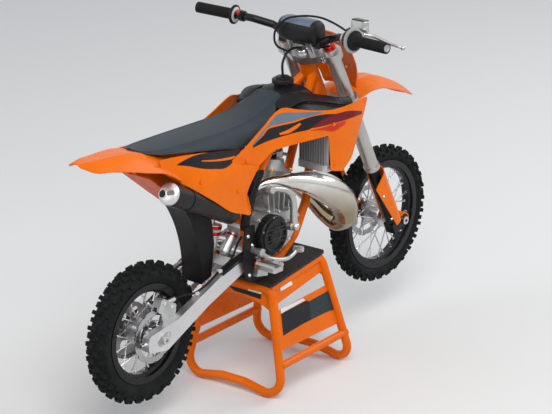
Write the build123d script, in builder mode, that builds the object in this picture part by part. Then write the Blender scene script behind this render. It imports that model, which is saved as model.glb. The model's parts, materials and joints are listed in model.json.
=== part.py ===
from build123d import *
import os
from math import asin, cos, sin, pi, radians, sqrt, tan

# Mini motocross bike on its paddock stand, in millimetres.
# X points forward, Y to the rider's left and Z up from the floor that the stand's feet rest on.
# A place given as (ahead, left, up) is measured ahead of the rear axle, and up from the bike's base line.
# The stand carries the bike, and its top sets how far the bike's base line lies above the floor.

# Driving dimensions of the whole bike
wheelbase = 1040
rear_axle_height = 280
front_axle_height = 337
tail_overhang = 235
rake = 26.5
axle_lead = 35
clamp_offset = 25

# Tyres and rims
rear_tyre_radius = 200
rear_tyre_width = 72
rear_bead_radius = 127
front_tyre_radius = 211
front_tyre_width = 62
front_bead_radius = 152.5
tyre_shoulder_share = 0.27
tyre_bulge_drop = 15
tyre_bulge_inset = 3
lug_height = 9.5
side_lug_height = 7
lug_root = 3
casing_inset = 6
rear_lug_pitches = 27
front_lug_pitches = 30
rim_wall = 3
rim_lip_height = 14
rim_drop = 9
rear_rim_width = 46
front_rim_width = 42

# Hubs, spokes, axles and brake discs
axle_radius = 7.5
axle_fit = 0.05
axle_bore_radius = 5
hub_barrel_radius = 19
hub_flange_radius = 37
hub_flange_thickness = 5
rear_flange_offset = 27
front_flange_offset = 26
rear_hub_half_length = 52
front_hub_half_length = 50
spoke_radius = 1.8
spokes_per_wheel = 28
spoke_lace_angle = 24
disc_thickness = 3
rear_disc_radius = 76
front_disc_radius = 80
disc_ring_width = 17
rear_disc_offset = 44
front_disc_offset = 43

# Chain drive
chain_offset = 48
chain_pitch = 12.7
rear_sprocket_teeth = 40
front_sprocket_teeth = 11
sprocket_thickness = 4
chain_width = 12
chain_height = 11
chain_waist = 7
countershaft_ahead = 430
countershaft_height = 428

# Swingarm
pivot_ahead = 372
pivot_height = 412
pivot_tube_radius = 14
arm_inner_offset = 58
arm_width = 24
shock_ear_offset = 15
shock_ear_thickness = 6

# Frame
frame_tube_radius = 12.5
head_tube_radius = 24
head_tube_bottom = 512
head_tube_top = 648
spar_offset = 70
cradle_offset = 45
plate_thickness = 6
frame_guard_thickness = 3

# Fork and clamps, measured along the steering axis from its foot beside the front axle
fork_spacing = 163
outer_tube_radius = 21
slider_radius = 16.5
lower_clamp_bottom = 482
lower_clamp_thickness = 24
upper_clamp_bottom = 656
upper_clamp_thickness = 22
outer_tube_bottom = 238
fork_top = 690
clamp_wall = 9

# Handlebar
axle_lug_radius = 20
lug_height_above = 22
plate_foot = 502
plate_height = 170
guard_radius = 31
guard_wall = 3
guard_height = 200
guard_reach = 41
bar_radius = 11
bar_half_width = 342
grip_radius = 16
grip_length = 122

# Engine
crank_ahead = 508
crank_height = 455
cylinder_lean = 12
case_boss_radius = 6
deck_height = 78
cylinder_height = 70
cylinder_length = 92
cylinder_width = 88
port_height = 108
case_right = 62
case_left = 36
clutch_cover_radius = 57
clutch_cover_depth = 30

# Paddock stand
stand_centre_ahead = 533.4
stand_yaw = 3.6
stand_tube_radius = 12.5
stand_foot_half_length = 171.5
stand_foot_half_width = 174.7
stand_top_shift = -17.8
stand_top_half_length = 119.9
stand_top_half_width = 109.7
stand_top_height = 342
stand_top_tilt = 6
stand_mat_thickness = 8
stand_foot_bend = 46
stand_foot_dip = 11.95
stand_rail_height = 97
stand_arch_rise = 26
panel_thickness = 2
band_depth = 60
band_arch = 24

# Height of the cradle's underside above the bike's base line, below the engine's middle
cradle_height = 342

# Clearances between pieces that meet
seat_gap = 0.3
spoke_gap = 0.8
fit_gap = 0.05

total_length = tail_overhang + wheelbase + front_tyre_radius
rear_axle_x = tail_overhang - total_length / 2
base_line = stand_top_height - cradle_height


def spot(ahead, left, up):
    """The point a distance ahead of the rear axle, left of the middle and up from the base line."""
    return Vector(rear_axle_x + ahead, left, base_line + up)


# The side plane shows the bike from its right: its X runs ahead, its Y up, and it faces right.
side = Plane(origin=(rear_axle_x, 0, base_line), x_dir=(1, 0, 0), z_dir=(0, -1, 0))
# The plan plane lies on the base line below the bike
plan = Plane(origin=(rear_axle_x, 0, base_line))

# The steering plane stands on the steering axis: its X points ahead of the axis, its Z up the fork
steer_up = Vector(-sin(radians(rake)), 0, cos(radians(rake)))
steer_ahead = Vector(cos(radians(rake)), 0, sin(radians(rake)))
front_axle = spot(wheelbase, 0, front_axle_height)
steer_foot = front_axle - steer_ahead * (axle_lead + clamp_offset)
steer = Plane(origin=steer_foot, x_dir=steer_ahead, z_dir=steer_up)


def steered(ahead, left, along):
    """The point ahead of the steering axis, left of it, and along it from its foot."""
    return steer.from_local_coords(Vector(ahead, left, along))


def tube_between(points, radii, tube_radius):
    """Adds a round tube along straight runs joined by arcs to the part that is being built."""
    with BuildLine() as centre:
        if radii:
            FilletPolyline(*points, radius=radii)
        else:
            Line(*points)
    with BuildSketch(Plane(origin=centre.line @ 0, z_dir=centre.line % 0)) as section:
        Circle(tube_radius)
    sweep(section.sketch, path=centre.line)


def ring_tube(points, radii, tube_radius):
    """Adds a round tube that closes on itself, with an arc at each of its points."""
    with BuildLine() as centre:
        FilletPolyline(*points, radius=radii, close=True)
    with BuildSketch(Plane(origin=centre.line @ 0, z_dir=centre.line % 0)) as section:
        Circle(tube_radius)
    sweep(section.sketch, path=centre.line)


def post_between(start, end, post_radius):
    """Adds a straight round post from one point to another."""
    start = Vector(start)
    direction = Vector(end) - start
    with BuildSketch(Plane(origin=start, z_dir=direction)) as section:
        Circle(post_radius)
    extrude(section.sketch, amount=direction.length)


def tie_to_tube(start, first, last, tube_radius, post_radius):
    """Adds a post square to a tube whose middle line runs from first to last, just short of its wall."""
    start = Vector(start)
    line = (last - first).normalized()
    reach = first + line * (start - first).dot(line) - start
    post_between(start, start + reach.normalized() * (reach.length - tube_radius - seat_gap), post_radius)


def finish(built, label):
    """Names a finished piece and writes its file."""
    built.part.label = label
    export_step(built.part, f"parts/{label}.step")


os.makedirs("parts", exist_ok=True)

# Wheels: each wheel turns about an axis across the bike, with its section drawn across and outwards


def wheel_plane(axle):
    return Plane(origin=axle, x_dir=(0, 1, 0), z_dir=(1, 0, 0))


def wheel_axis(axle):
    return Axis(axle, (0, 1, 0))


lug_rows = (
    # lean away from the middle, turn as a share of a pitch, width as a share of the tyre's, length
    (0, 0.0, 0.21, 14), (21, 0.5, 0.17, 13), (-21, 0.5, 0.17, 13), (42, 0.05, 0.15, 12), (-42, 0.05, 0.15, 12),
    (62, 0.52, 0.13, 15), (-62, 0.52, 0.13, 15),
)


def build_tyre(axle, tyre_radius, tyre_width, bead_radius, rim_width, pitches):
    """A tyre with arcs for its crown and side walls, seated between the rim's lips, with rows of lugs."""
    crown = tyre_radius - lug_height
    bead_half = rim_width / 2 - rim_wall - seat_gap
    lip = bead_radius + rim_lip_height
    crown_rise = tyre_width * tyre_shoulder_share
    shoulder = crown - crown_rise
    bulge = shoulder - tyre_bulge_drop
    half = tyre_width / 2 - casing_inset
    crown_arc = (half * half + crown_rise * crown_rise) / (2 * crown_rise)
    with BuildPart() as tyre:
        with BuildSketch(wheel_plane(axle)):
            with BuildLine():
                Polyline(
                    (-bead_half, lip), (-bead_half, bead_radius + seat_gap),
                    (bead_half, bead_radius + seat_gap), (bead_half, lip),
                )
                right = ThreePointArc((bead_half, lip), (half - tyre_bulge_inset, bulge), (half, shoulder))
                tread = ThreePointArc(right @ 1, (0, crown), (-half, shoulder))
                ThreePointArc(tread @ 1, (-half + tyre_bulge_inset, bulge), (-bead_half, lip))
            make_face()
        revolve(axis=wheel_axis(axle))
        for lean, shift, width_share, length in lug_rows:
            height = lug_height if abs(lean) < 50 else side_lug_height
            reach = crown - crown_arc + (crown_arc - lug_root) * cos(radians(lean))
            left = (crown_arc - lug_root) * sin(radians(lean))
            places = []
            for number in range(pitches):
                turn = 2 * pi * (number + shift) / pitches
                outward = Vector(cos(turn), 0, sin(turn))
                foot = axle + outward * reach + Vector(0, left, 0)
                lug_up = outward * cos(radians(lean)) + Vector(0, sin(radians(lean)), 0)
                places.append(Plane(origin=foot, x_dir=(-sin(turn), 0, cos(turn)), z_dir=lug_up))
            with Locations(*places):
                Box(length, width_share * tyre_width, height + lug_root, align=(Align.CENTER, Align.CENTER, Align.MIN))
    return tyre


def build_rim(axle, bead_radius, rim_width):
    """A wheel rim with lips at its edges and a well between its two bead seats."""
    half = rim_width / 2
    lip = bead_radius + rim_lip_height
    well_half = half * 0.45
    with BuildPart() as rim:
        with BuildSketch(wheel_plane(axle)):
            with BuildLine():
                Polyline(
                    (-half, lip), (-half + rim_wall, lip), (-half + rim_wall, bead_radius),
                    (-well_half - rim_wall, bead_radius), (-well_half, bead_radius - rim_drop),
                    (well_half, bead_radius - rim_drop), (well_half + rim_wall, bead_radius),
                    (half - rim_wall, bead_radius), (half - rim_wall, lip), (half, lip),
                    (half, bead_radius - rim_wall), (well_half + rim_wall, bead_radius - rim_wall),
                    (well_half, bead_radius - rim_drop - rim_wall),
                    (-well_half, bead_radius - rim_drop - rim_wall),
                    (-well_half - rim_wall, bead_radius - rim_wall), (-half, bead_radius - rim_wall),
                    close=True,
                )
            make_face()
        revolve(axis=wheel_axis(axle))
    return rim


def build_hub(axle, half_length, flange_offset, bead_radius):
    """A hub with two drilled flanges and the laced spokes that reach out to the rim."""
    spoke_end = bead_radius - rim_drop - rim_wall - spoke_gap
    with BuildPart() as hub:
        with BuildSketch(wheel_plane(axle)):
            with BuildLine():
                Polyline(
                    (-half_length, axle_radius + axle_fit), (-half_length, hub_barrel_radius + 3),
                    (-flange_offset - hub_flange_thickness, hub_barrel_radius + 3),
                    (-flange_offset - hub_flange_thickness / 2, hub_flange_radius),
                    (-flange_offset + hub_flange_thickness / 2, hub_flange_radius),
                    (-flange_offset + hub_flange_thickness, hub_barrel_radius),
                    (flange_offset - hub_flange_thickness, hub_barrel_radius),
                    (flange_offset - hub_flange_thickness / 2, hub_flange_radius),
                    (flange_offset + hub_flange_thickness / 2, hub_flange_radius),
                    (flange_offset + hub_flange_thickness, hub_barrel_radius + 3),
                    (half_length, hub_barrel_radius + 3), (half_length, axle_radius + axle_fit),
                    close=True,
                )
            make_face()
        revolve(axis=wheel_axis(axle))
        for number in range(spokes_per_wheel):
            flange_side = 1 if number % 2 == 0 else -1
            lace = spoke_lace_angle if number % 4 < 2 else -spoke_lace_angle
            rim_angle = 360 / spokes_per_wheel * number
            hub_angle = rim_angle + lace
            start = Vector(
                cos(radians(hub_angle)) * (hub_flange_radius - 4), flange_side * flange_offset,
                sin(radians(hub_angle)) * (hub_flange_radius - 4),
            )
            end = Vector(
                cos(radians(rim_angle)) * spoke_end, flange_side * 3,
                sin(radians(rim_angle)) * spoke_end,
            )
            post_between(axle + start, axle + end, spoke_radius)
    return hub


def build_disc(axle, disc_radius, offset_left):
    """A brake disc: a ring with a scalloped edge on four arms and a mounting ring."""
    face = Plane(origin=axle + Vector(0, offset_left, 0), x_dir=(1, 0, 0), z_dir=(0, -1, 0))
    with BuildPart() as disc:
        with BuildSketch(face):
            Circle(disc_radius)
            with PolarLocations(disc_radius + 9, 12):
                Circle(12, mode=Mode.SUBTRACT)
            Circle(disc_radius - disc_ring_width, mode=Mode.SUBTRACT)
            Circle(hub_barrel_radius + 12)
            with PolarLocations((disc_radius - disc_ring_width + hub_barrel_radius) / 2 + 5, 6):
                Rectangle(disc_radius - disc_ring_width - hub_barrel_radius, 9)
            Circle(hub_barrel_radius + 3 + seat_gap, mode=Mode.SUBTRACT)
        extrude(amount=disc_thickness / 2, both=True)
    return disc


rear_axle = spot(0, 0, rear_axle_height)
rear_tyre = build_tyre(
    rear_axle, rear_tyre_radius, rear_tyre_width, rear_bead_radius, rear_rim_width, rear_lug_pitches,
)
front_tyre = build_tyre(
    front_axle, front_tyre_radius, front_tyre_width, front_bead_radius, front_rim_width, front_lug_pitches,
)
rear_rim = build_rim(rear_axle, rear_bead_radius, rear_rim_width)
front_rim = build_rim(front_axle, front_bead_radius, front_rim_width)
rear_hub = build_hub(rear_axle, rear_hub_half_length, rear_flange_offset, rear_bead_radius)
front_hub = build_hub(front_axle, front_hub_half_length, front_flange_offset, front_bead_radius)
rear_disc = build_disc(rear_axle, rear_disc_radius, -rear_disc_offset)
front_disc = build_disc(front_axle, front_disc_radius, front_disc_offset)

# Chain and sprockets
rear_pitch_radius = chain_pitch * rear_sprocket_teeth / (2 * pi)
front_pitch_radius = chain_pitch * front_sprocket_teeth / (2 * pi)
sprocket_root_gap = chain_height / 2 + 1
chain_face = Plane(origin=(rear_axle_x, chain_offset, base_line), x_dir=(1, 0, 0), z_dir=(0, -1, 0))

with BuildPart() as rear_sprocket:
    with BuildSketch(chain_face):
        with Locations((0, rear_axle_height)):
            Circle(rear_pitch_radius - sprocket_root_gap)
            with PolarLocations(rear_pitch_radius * 0.6, 6):
                Circle(rear_pitch_radius * 0.17, mode=Mode.SUBTRACT)
            Circle(hub_barrel_radius + 3 + seat_gap, mode=Mode.SUBTRACT)
    extrude(amount=sprocket_thickness / 2, both=True)

with BuildPart() as countershaft:
    with BuildSketch(chain_face):
        with Locations((countershaft_ahead, countershaft_height)):
            Circle(front_pitch_radius - chain_height / 2 - seat_gap)
    extrude(amount=sprocket_thickness / 2, both=True)
    with BuildSketch(side.offset(-case_left - seat_gap)):
        with Locations((countershaft_ahead, countershaft_height)):
            Circle(8)
    extrude(amount=-(chain_offset + 5 - case_left))

sprocket_span = Vector(countershaft_ahead, countershaft_height - rear_axle_height)


def chain_place(distance, grow):
    """The point on the chain's line at a distance round it from its top rear, moved outwards by grow."""
    rear_centre = Vector(0, rear_axle_height)
    front_centre = Vector(countershaft_ahead, countershaft_height)
    if distance < chain_run:
        return rear_centre + up_normal * (rear_pitch_radius + grow) + chain_along * distance
    distance -= chain_run
    if distance < front_wrap * front_pitch_radius:
        turn = distance / front_pitch_radius
        return front_centre + up_normal.rotate(Axis.Z, -turn * 180 / pi) * (front_pitch_radius + grow)
    distance -= front_wrap * front_pitch_radius
    if distance < chain_run:
        return front_centre + down_normal * (front_pitch_radius + grow) - low_along * distance
    turn = (distance - chain_run) / rear_pitch_radius
    return rear_centre + down_normal.rotate(Axis.Z, -turn * 180 / pi) * (rear_pitch_radius + grow)


chain_line = sprocket_span.normalized()
chain_across = Vector(-chain_line.Y, chain_line.X)
chain_drop = (rear_pitch_radius - front_pitch_radius) / sprocket_span.length
chain_lean = sqrt(1 - chain_drop * chain_drop)
up_normal = chain_across * chain_lean + chain_line * chain_drop
down_normal = chain_across * -chain_lean + chain_line * chain_drop
chain_along = Vector(up_normal.Y, -up_normal.X)
low_along = Vector(-down_normal.Y, down_normal.X)
chain_run = sprocket_span.length * chain_lean
front_wrap = pi - 2 * asin(chain_drop)
rear_wrap = pi + 2 * asin(chain_drop)
chain_length = 2 * chain_run + front_wrap * front_pitch_radius + rear_wrap * rear_pitch_radius
chain_links = round(chain_length / chain_pitch)
with BuildPart() as chain:
    with BuildSketch(chain_face):
        for direction, face_mode in ((1, Mode.ADD), (-1, Mode.SUBTRACT)):
            outline = []
            for half_link in range(2 * chain_links):
                half_height = chain_height / 2 if half_link % 2 == 0 else chain_waist / 2
                outline.append(chain_place(half_link * chain_length / (2 * chain_links), direction * half_height))
            with BuildLine():
                Polyline(*outline, close=True)
            make_face(mode=face_mode)
    extrude(amount=chain_width / 2, both=True)

# Swingarm, rear axle and adjusters
arm_outer_offset = arm_inner_offset + arm_width
arm_profile = (
    (-58, 303), (-62, 258), (14, 245), (180, 322), (pivot_ahead - 8, pivot_height - 22),
    (pivot_ahead + 16, pivot_height), (pivot_ahead - 4, pivot_height + 20), (250, 398), (60, 322),
)
with BuildPart() as swingarm:
    with BuildSketch(side.offset(arm_inner_offset)):
        with BuildLine():
            FilletPolyline(*arm_profile, radius=12, close=True)
        make_face()
        with Locations((0, rear_axle_height)):
            SlotOverall(46, 2 * axle_radius + 1, mode=Mode.SUBTRACT)
        with Locations((pivot_ahead, pivot_height)):
            Circle(axle_radius + axle_fit, mode=Mode.SUBTRACT)
    extrude(amount=arm_width)
    mirror(about=Plane.XZ)
    with BuildSketch(side.offset(-arm_inner_offset)):
        with BuildLine():
            Polyline((286, 368), (330, 380), (334, 404), (288, 398), close=True)
        make_face()
    extrude(amount=2 * arm_inner_offset)
    with BuildSketch(side.offset(-arm_inner_offset)):
        with Locations((pivot_ahead, pivot_height)):
            Circle(pivot_tube_radius)
            Circle(axle_radius + axle_fit, mode=Mode.SUBTRACT)
    extrude(amount=2 * arm_inner_offset)
    for ear_side in (-1, 1):
        with BuildSketch(side.offset(ear_side * shock_ear_offset - shock_ear_thickness / 2)):
            with BuildLine():
                Polyline((296, 376), (256, 341), (240, 346), (240, 362), (286, 396), close=True)
            make_face()
        extrude(amount=shock_ear_thickness)

plate_outer = arm_outer_offset + seat_gap + plate_thickness
guard_outer = plate_outer + seat_gap + frame_guard_thickness
pivot_bolt_half = arm_outer_offset + 18
with BuildPart() as rear_axle_shaft:
    with BuildSketch(side.offset(-arm_outer_offset - 10)):
        with Locations((0, rear_axle_height)):
            Circle(axle_radius)
            Circle(axle_bore_radius, mode=Mode.SUBTRACT)
    extrude(amount=2 * arm_outer_offset + 20)
    for nut_side in (-1, 1):
        with BuildSketch(side.offset(nut_side * (arm_outer_offset + seat_gap))):
            with Locations((0, rear_axle_height)):
                RegularPolygon(13, 6)
                Circle(axle_radius - 1, mode=Mode.SUBTRACT)
        extrude(amount=nut_side * 9)
    for end_side in (-1, 1):
        with BuildSketch(side.offset(end_side * (rear_hub_half_length + seat_gap))):
            with Locations((0, rear_axle_height)):
                Circle(13)
                Circle(axle_radius - 1, mode=Mode.SUBTRACT)
        extrude(amount=end_side * (arm_inner_offset - rear_hub_half_length - 2 * seat_gap))

# Frame: head tube, main spars, downtubes, cradle, pivot plates and the seat's rails
mat_slope = tan(radians(stand_top_tilt))


def mat_top(ahead):
    """Height of the stand's mat below a place on the bike."""
    return cradle_height + (ahead - stand_centre_ahead - stand_top_shift) * mat_slope


rail_radius = 9
rail_bend = spot(300, -62, 738)
rail_tail = spot(-70, -52, 772)
cradle_rear = 398
cradle_front = 522
cradle_lift = frame_tube_radius / cos(radians(stand_top_tilt)) + seat_gap
spar_points = [
    steered(0, -12, head_tube_top - 42), spot(610, -52, 762), spot(468, -spar_offset, 716),
    spot(388, -spar_offset, 622), spot(342, -spar_offset, 518),
    spot(pivot_ahead - 22, -spar_offset - 2, pivot_height + 24),
]
with BuildPart() as frame:
    with BuildSketch(steer.offset(head_tube_bottom)):
        Circle(head_tube_radius)
    extrude(amount=head_tube_top - head_tube_bottom)
    tube_between(spar_points, [60, 60, 60, 60], frame_tube_radius)
    tube_between(
        [
            steered(0, -12, head_tube_bottom + 63), spot(645, -cradle_offset, 499),
            spot(592, -cradle_offset, 405), spot(cradle_front, -cradle_offset, mat_top(cradle_front) + cradle_lift),
            spot(cradle_rear, -cradle_offset, mat_top(cradle_rear) + cradle_lift),
        ],
        [80, 60, 50], frame_tube_radius,
    )
    tube_between(
        [spot(440, -spar_offset + 6, 694), rail_bend, rail_tail],
        [200], rail_radius,
    )
    tube_between([spot(342, -28, 518), spot(110, -50, 750)], [], 8)
    with BuildSketch(side.offset(arm_outer_offset + seat_gap)):
        with BuildLine():
            Polyline(
                (332, 372), (348, 352), (404, 342), (410, 362), (392, 402), (374, 424), (360, 448), (356, 486),
                (338, 490), (330, 452), close=True,
            )
        make_face()
        with Locations((pivot_ahead, pivot_height)):
            Circle(axle_radius + axle_fit, mode=Mode.SUBTRACT)
    extrude(amount=plate_thickness)
    mirror(about=Plane.XZ)
    tube_between(
        [
            spot(cradle_rear + 2, -arm_outer_offset - 5, mat_top(cradle_rear) + cradle_lift + 8),
            spot(cradle_rear + 2, arm_outer_offset + 5, mat_top(cradle_rear) + cradle_lift + 8),
        ],
        [], frame_tube_radius - 2,
    )
    tube_between([spot(342, -spar_offset, 518), spot(342, spar_offset, 518)], [], 10)
    for ear_side in (-1, 1):
        with BuildSketch(side.offset(ear_side * shock_ear_offset - shock_ear_thickness / 2)):
            with BuildLine():
                Polyline((348, 508), (346, 528), (300, 562), (282, 558), (280, 540), (330, 508), close=True)
            make_face()
        extrude(amount=shock_ear_thickness)
    tube_between([spot(300, -66, 738), spot(300, 66, 738)], [], 9)
    tube_between([spot(-58, -54, 771), spot(-58, 54, 771)], [], 9)
    tube_between([spot(468, -spar_offset, 716), spot(468, spar_offset, 716)], [], 10)

with BuildPart() as pivot_bolt:
    with BuildSketch(side.offset(-pivot_bolt_half)):
        with Locations((pivot_ahead, pivot_height)):
            Circle(axle_radius)
    extrude(amount=2 * pivot_bolt_half)
    for nut_side in (-1, 1):
        with BuildSketch(side.offset(nut_side * (guard_outer + seat_gap))):
            with Locations((pivot_ahead, pivot_height)):
                RegularPolygon(13, 6)
        extrude(amount=nut_side * 7)

# Guards over the outside of the spars and over the pivot plates
with BuildPart() as frame_guards:
    tube_between(spar_points, [60, 60, 60, 60], frame_tube_radius + seat_gap + frame_guard_thickness)
    with BuildSketch(side.offset(spar_offset + 1)):
        with Locations((365, 576)):
            Rectangle(90, 158)
    extrude(amount=40, mode=Mode.INTERSECT)
    with BuildPart(mode=Mode.SUBTRACT):
        tube_between(spar_points, [60, 60, 60, 60], frame_tube_radius + seat_gap)
    with BuildSketch(side.offset(plate_outer + seat_gap)):
        with BuildLine():
            Polyline(
                (322, 508), (312, 412), (326, 364), (346, 346), (410, 338), (430, 372), (408, 405), (386, 417),
                (367, 445), (364, 508), close=True,
            )
        make_face()
        with Locations((pivot_ahead, pivot_height)):
            Circle(axle_radius + fit_gap, mode=Mode.SUBTRACT)
    extrude(amount=frame_guard_thickness)
    with BuildSketch(side.offset(spar_offset + frame_tube_radius + 2)):
        with Locations((343, 502)):
            Rectangle(38, 12)
    extrude(amount=guard_outer - spar_offset - frame_tube_radius - 2)
    mirror(about=Plane.XZ)

# Engine: crankcase with its side covers, clutch cover, kick lever, cylinder and carburettor
cylinder_up = Vector(sin(radians(cylinder_lean)), 0, cos(radians(cylinder_lean)))
cylinder_ahead = Vector(cos(radians(cylinder_lean)), 0, -sin(radians(cylinder_lean)))
deck_middle = Vector(crank_ahead, 0, crank_height) + cylinder_up * (deck_height - seat_gap)
deck_front = ((deck_middle + cylinder_ahead * 48).X, (deck_middle + cylinder_ahead * 48).Z)
deck_rear = ((deck_middle - cylinder_ahead * 48).X, (deck_middle - cylinder_ahead * 48).Z)
case_bosses = ((384, 514), (425, 530), (470, 518), (512, 514), (550, 486), (548, 446), (512, 426), (470, 406))
case_ribs = (
    # ahead, up, length, turn, of the ribs on the upper right of the case
    (440, 540, 60, 96), (462, 540, 62, 92), (484, 538, 62, 88), (506, 536, 62, 84), (528, 530, 60, 78),
    (548, 518, 50, 70),
)
with BuildPart() as crankcase:
    with BuildSketch(side.offset(-case_left)):
        with BuildLine():
            Polyline(
                (400, 398), (430, 380), (500, 382), (545, 400), (570, 425), (582, 460), (584, 500),
                deck_front, deck_rear, (415, 520), (394, 470), close=True,
            )
        make_face()
    extrude(amount=case_left + case_right)
    with BuildSketch(side.offset(case_right)):
        with Locations((425, 464)):
            Circle(clutch_cover_radius + 4)
        with Locations((506, 470)):
            Circle(40)
        with BuildLine():
            Polyline((425, 405), (506, 432), (506, 508), (425, 525), close=True)
        make_face()
    extrude(amount=25)
    with BuildSketch(side.offset(case_right - 20)):
        with Locations(*case_bosses):
            Circle(case_boss_radius)
    extrude(amount=48)
    with BuildSketch(side.offset(case_right)):
        for rib_ahead, rib_up, rib_length, rib_turn in case_ribs:
            with Locations(Location((rib_ahead, rib_up, 0), (0, 0, rib_turn))):
                Rectangle(rib_length, 4)
    extrude(amount=16)
    with BuildSketch(side.offset(-case_left)):
        with Locations((crank_ahead + 18, crank_height)):
            Circle(48)
    extrude(amount=-46)
    with BuildSketch(side.offset(-case_left - 46)):
        with Locations((crank_ahead + 18, crank_height)):
            Circle(34)
    extrude(amount=-5)

with BuildPart() as clutch_cover:
    with BuildSketch(side.offset(case_right + 25 + seat_gap)):
        with Locations((425, 464)):
            Circle(clutch_cover_radius)
    extrude(amount=clutch_cover_depth - 4)
    with BuildSketch(side.offset(case_right + 21 + seat_gap + clutch_cover_depth)):
        with Locations((425, 464)):
            Circle(clutch_cover_radius - 7)
            Circle(clutch_cover_radius - 16, mode=Mode.SUBTRACT)
            Circle(clutch_cover_radius - 32)
            for cover_rib in (-20, 20):
                with Locations((0, cover_rib)):
                    Rectangle(2 * clutch_cover_radius - 30, 5)
    extrude(amount=4)

kick_offset = case_right + 25 + seat_gap
with BuildPart() as kick_lever:
    with BuildSketch(side.offset(kick_offset)):
        with Locations((506, 472)):
            Circle(15)
    extrude(amount=38)
    tube_between(
        [
            spot(505, -kick_offset - 27, 480), spot(503, -kick_offset - 28, 545), spot(472, -kick_offset - 27, 586),
            spot(414, -kick_offset - 21, 603),
        ],
        [40, 26], 8.5,
    )
    post_between(spot(414, -kick_offset - 10, 602), spot(408, -kick_offset - 34, 604), 10)

cylinder_base = Plane(origin=spot(crank_ahead, 0, crank_height), x_dir=cylinder_ahead, z_dir=cylinder_up)
port_root = cylinder_base.from_local_coords(Vector(cylinder_length / 2 - 2, 0, port_height))
port_length = 12
with BuildPart() as cylinder:
    with BuildSketch(cylinder_base.offset(deck_height)):
        RectangleRounded(cylinder_length, cylinder_width, 16)
    extrude(amount=cylinder_height)
    with BuildSketch(cylinder_base.offset(deck_height + cylinder_height)):
        RectangleRounded(cylinder_length + 6, cylinder_width + 6, 18)
    extrude(amount=8)
    with BuildSketch(cylinder_base.offset(deck_height + cylinder_height + 8)):
        Circle(41)
    extrude(amount=30, taper=12)
    with BuildSketch(cylinder_base.offset(deck_height + cylinder_height + 32)):
        Circle(11)
    extrude(amount=20)
    with BuildSketch(Plane(origin=port_root, x_dir=(0, 1, 0), z_dir=cylinder_ahead)):
        Circle(22)
    extrude(amount=port_length)

with BuildPart() as carburettor:
    post_between(spot(395, 0, 574), spot(470, 0, 566), 24)
    post_between(spot(330, 0, 580), spot(396, 0, 574), 30)
    with BuildSketch(plan.offset(547)):
        with Locations((435, 0)):
            RectangleRounded(46, 54, 10)
    extrude(amount=68)

with BuildPart() as airbox:
    with BuildSketch(side.offset(-28)):
        with BuildLine():
            Polyline(
                (327.9, 560), (332, 606), (318, 640), (312, 722), (178, 722), (178, 668), (262, 606), (300, 582),
                (318, 560), close=True,
            )
        make_face()
    extrude(amount=56)

# Exhaust: an expansion chamber of welded cones round the right of the engine, then the silencer
pipe_stations = (
    # ahead, left, up, radius
    (640, -2, 533, 19),
    (700, -8, 482, 21),
    (742, -28, 430, 25),
    (765, -62, 404, 31),
    (762, -95, 432, 37),
    (722, -106, 492, 42),
    (650, -106, 544, 41),
    (570, -102, 580, 31),
    (492, -93, 602, 19),
    (440, -64, 602, 13),
    (404, -42, 582, 11),
    (374, -40, 562, 11),
    (352, -43, 548, 11),
    (330, -48, 541, 11),
    (314, -62, 542, 11),
)
silencer_radius = 31
silencer_front = spot(298, -80, 552.5)
silencer_rear = spot(14, -98, 692)
silencer_line = (silencer_rear - silencer_front).normalized()
silencer_length = (silencer_rear - silencer_front).length
pipe_start = port_root + cylinder_ahead * (port_length + seat_gap)
pipe_points = [pipe_start, pipe_start + cylinder_ahead * 24]
pipe_points += [spot(ahead, left, up) for ahead, left, up, radius in pipe_stations]
pipe_points += [silencer_front - silencer_line * 12, silencer_front - silencer_line * seat_gap]
pipe_radii = [17, 17] + [station[3] for station in pipe_stations] + [11, 11]
with BuildPart() as exhaust_pipe:
    across = Vector(0, 1, 0)
    for number, pipe_radius in enumerate(pipe_radii):
        before = pipe_points[max(number - 1, 0)]
        after = pipe_points[min(number + 1, len(pipe_points) - 1)]
        tangent = (after - before).normalized()
        across = (across - tangent * across.dot(tangent)).normalized()
        with BuildSketch(Plane(origin=pipe_points[number], x_dir=across, z_dir=tangent)):
            Circle(pipe_radius)
    loft(ruled=True)

with BuildPart() as silencer:
    with BuildSketch(Plane(origin=silencer_front, z_dir=silencer_line)):
        Circle(silencer_radius - 14)
    with BuildSketch(Plane(origin=silencer_front + silencer_line * 26, z_dir=silencer_line)):
        Circle(silencer_radius)
    loft()
    with BuildSketch(Plane(origin=silencer_front + silencer_line * 26, z_dir=silencer_line)):
        Circle(silencer_radius)
    extrude(amount=silencer_length - 26)

cap_start = silencer_rear + silencer_line * fit_gap
with BuildPart() as silencer_cap:
    with BuildSketch(Plane(origin=cap_start, z_dir=silencer_line)):
        Circle(silencer_radius)
    extrude(amount=16)
    fillet(silencer_cap.edges().group_by(SortBy.DISTANCE)[-1], 6)
    with BuildSketch(Plane(origin=cap_start + silencer_line * 16, z_dir=silencer_line)):
        Circle(11)
    extrude(amount=-12, mode=Mode.SUBTRACT)

# Radiators beside the downtubes
downtube_head = steered(0, -12, head_tube_bottom + 63)
downtube_bend = spot(645, -cradle_offset, 499)
with BuildPart() as radiators:
    with BuildSketch(Plane(origin=spot(624, 0, 0), x_dir=(0, 1, 0), z_dir=(1, 0, 0))):
        with Locations((-92, 674)):
            Rectangle(100, 100)
    extrude(amount=20)
    with Locations(*[spot(618, -92 + 9 * louvre, 674) for louvre in range(-5, 6)]):
        Box(14, 2.2, 98)
    for tank_bottom in (606, 722):
        with BuildSketch(plan.offset(tank_bottom)):
            with Locations((629, -92)):
                RectangleRounded(40, 104, 8)
        extrude(amount=20)
    for tie_height in (616, 732):
        tie_to_tube(spot(640, -58, tie_height), downtube_head, downtube_bend, frame_tube_radius, 5)
    mirror(about=Plane.XZ)

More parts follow.
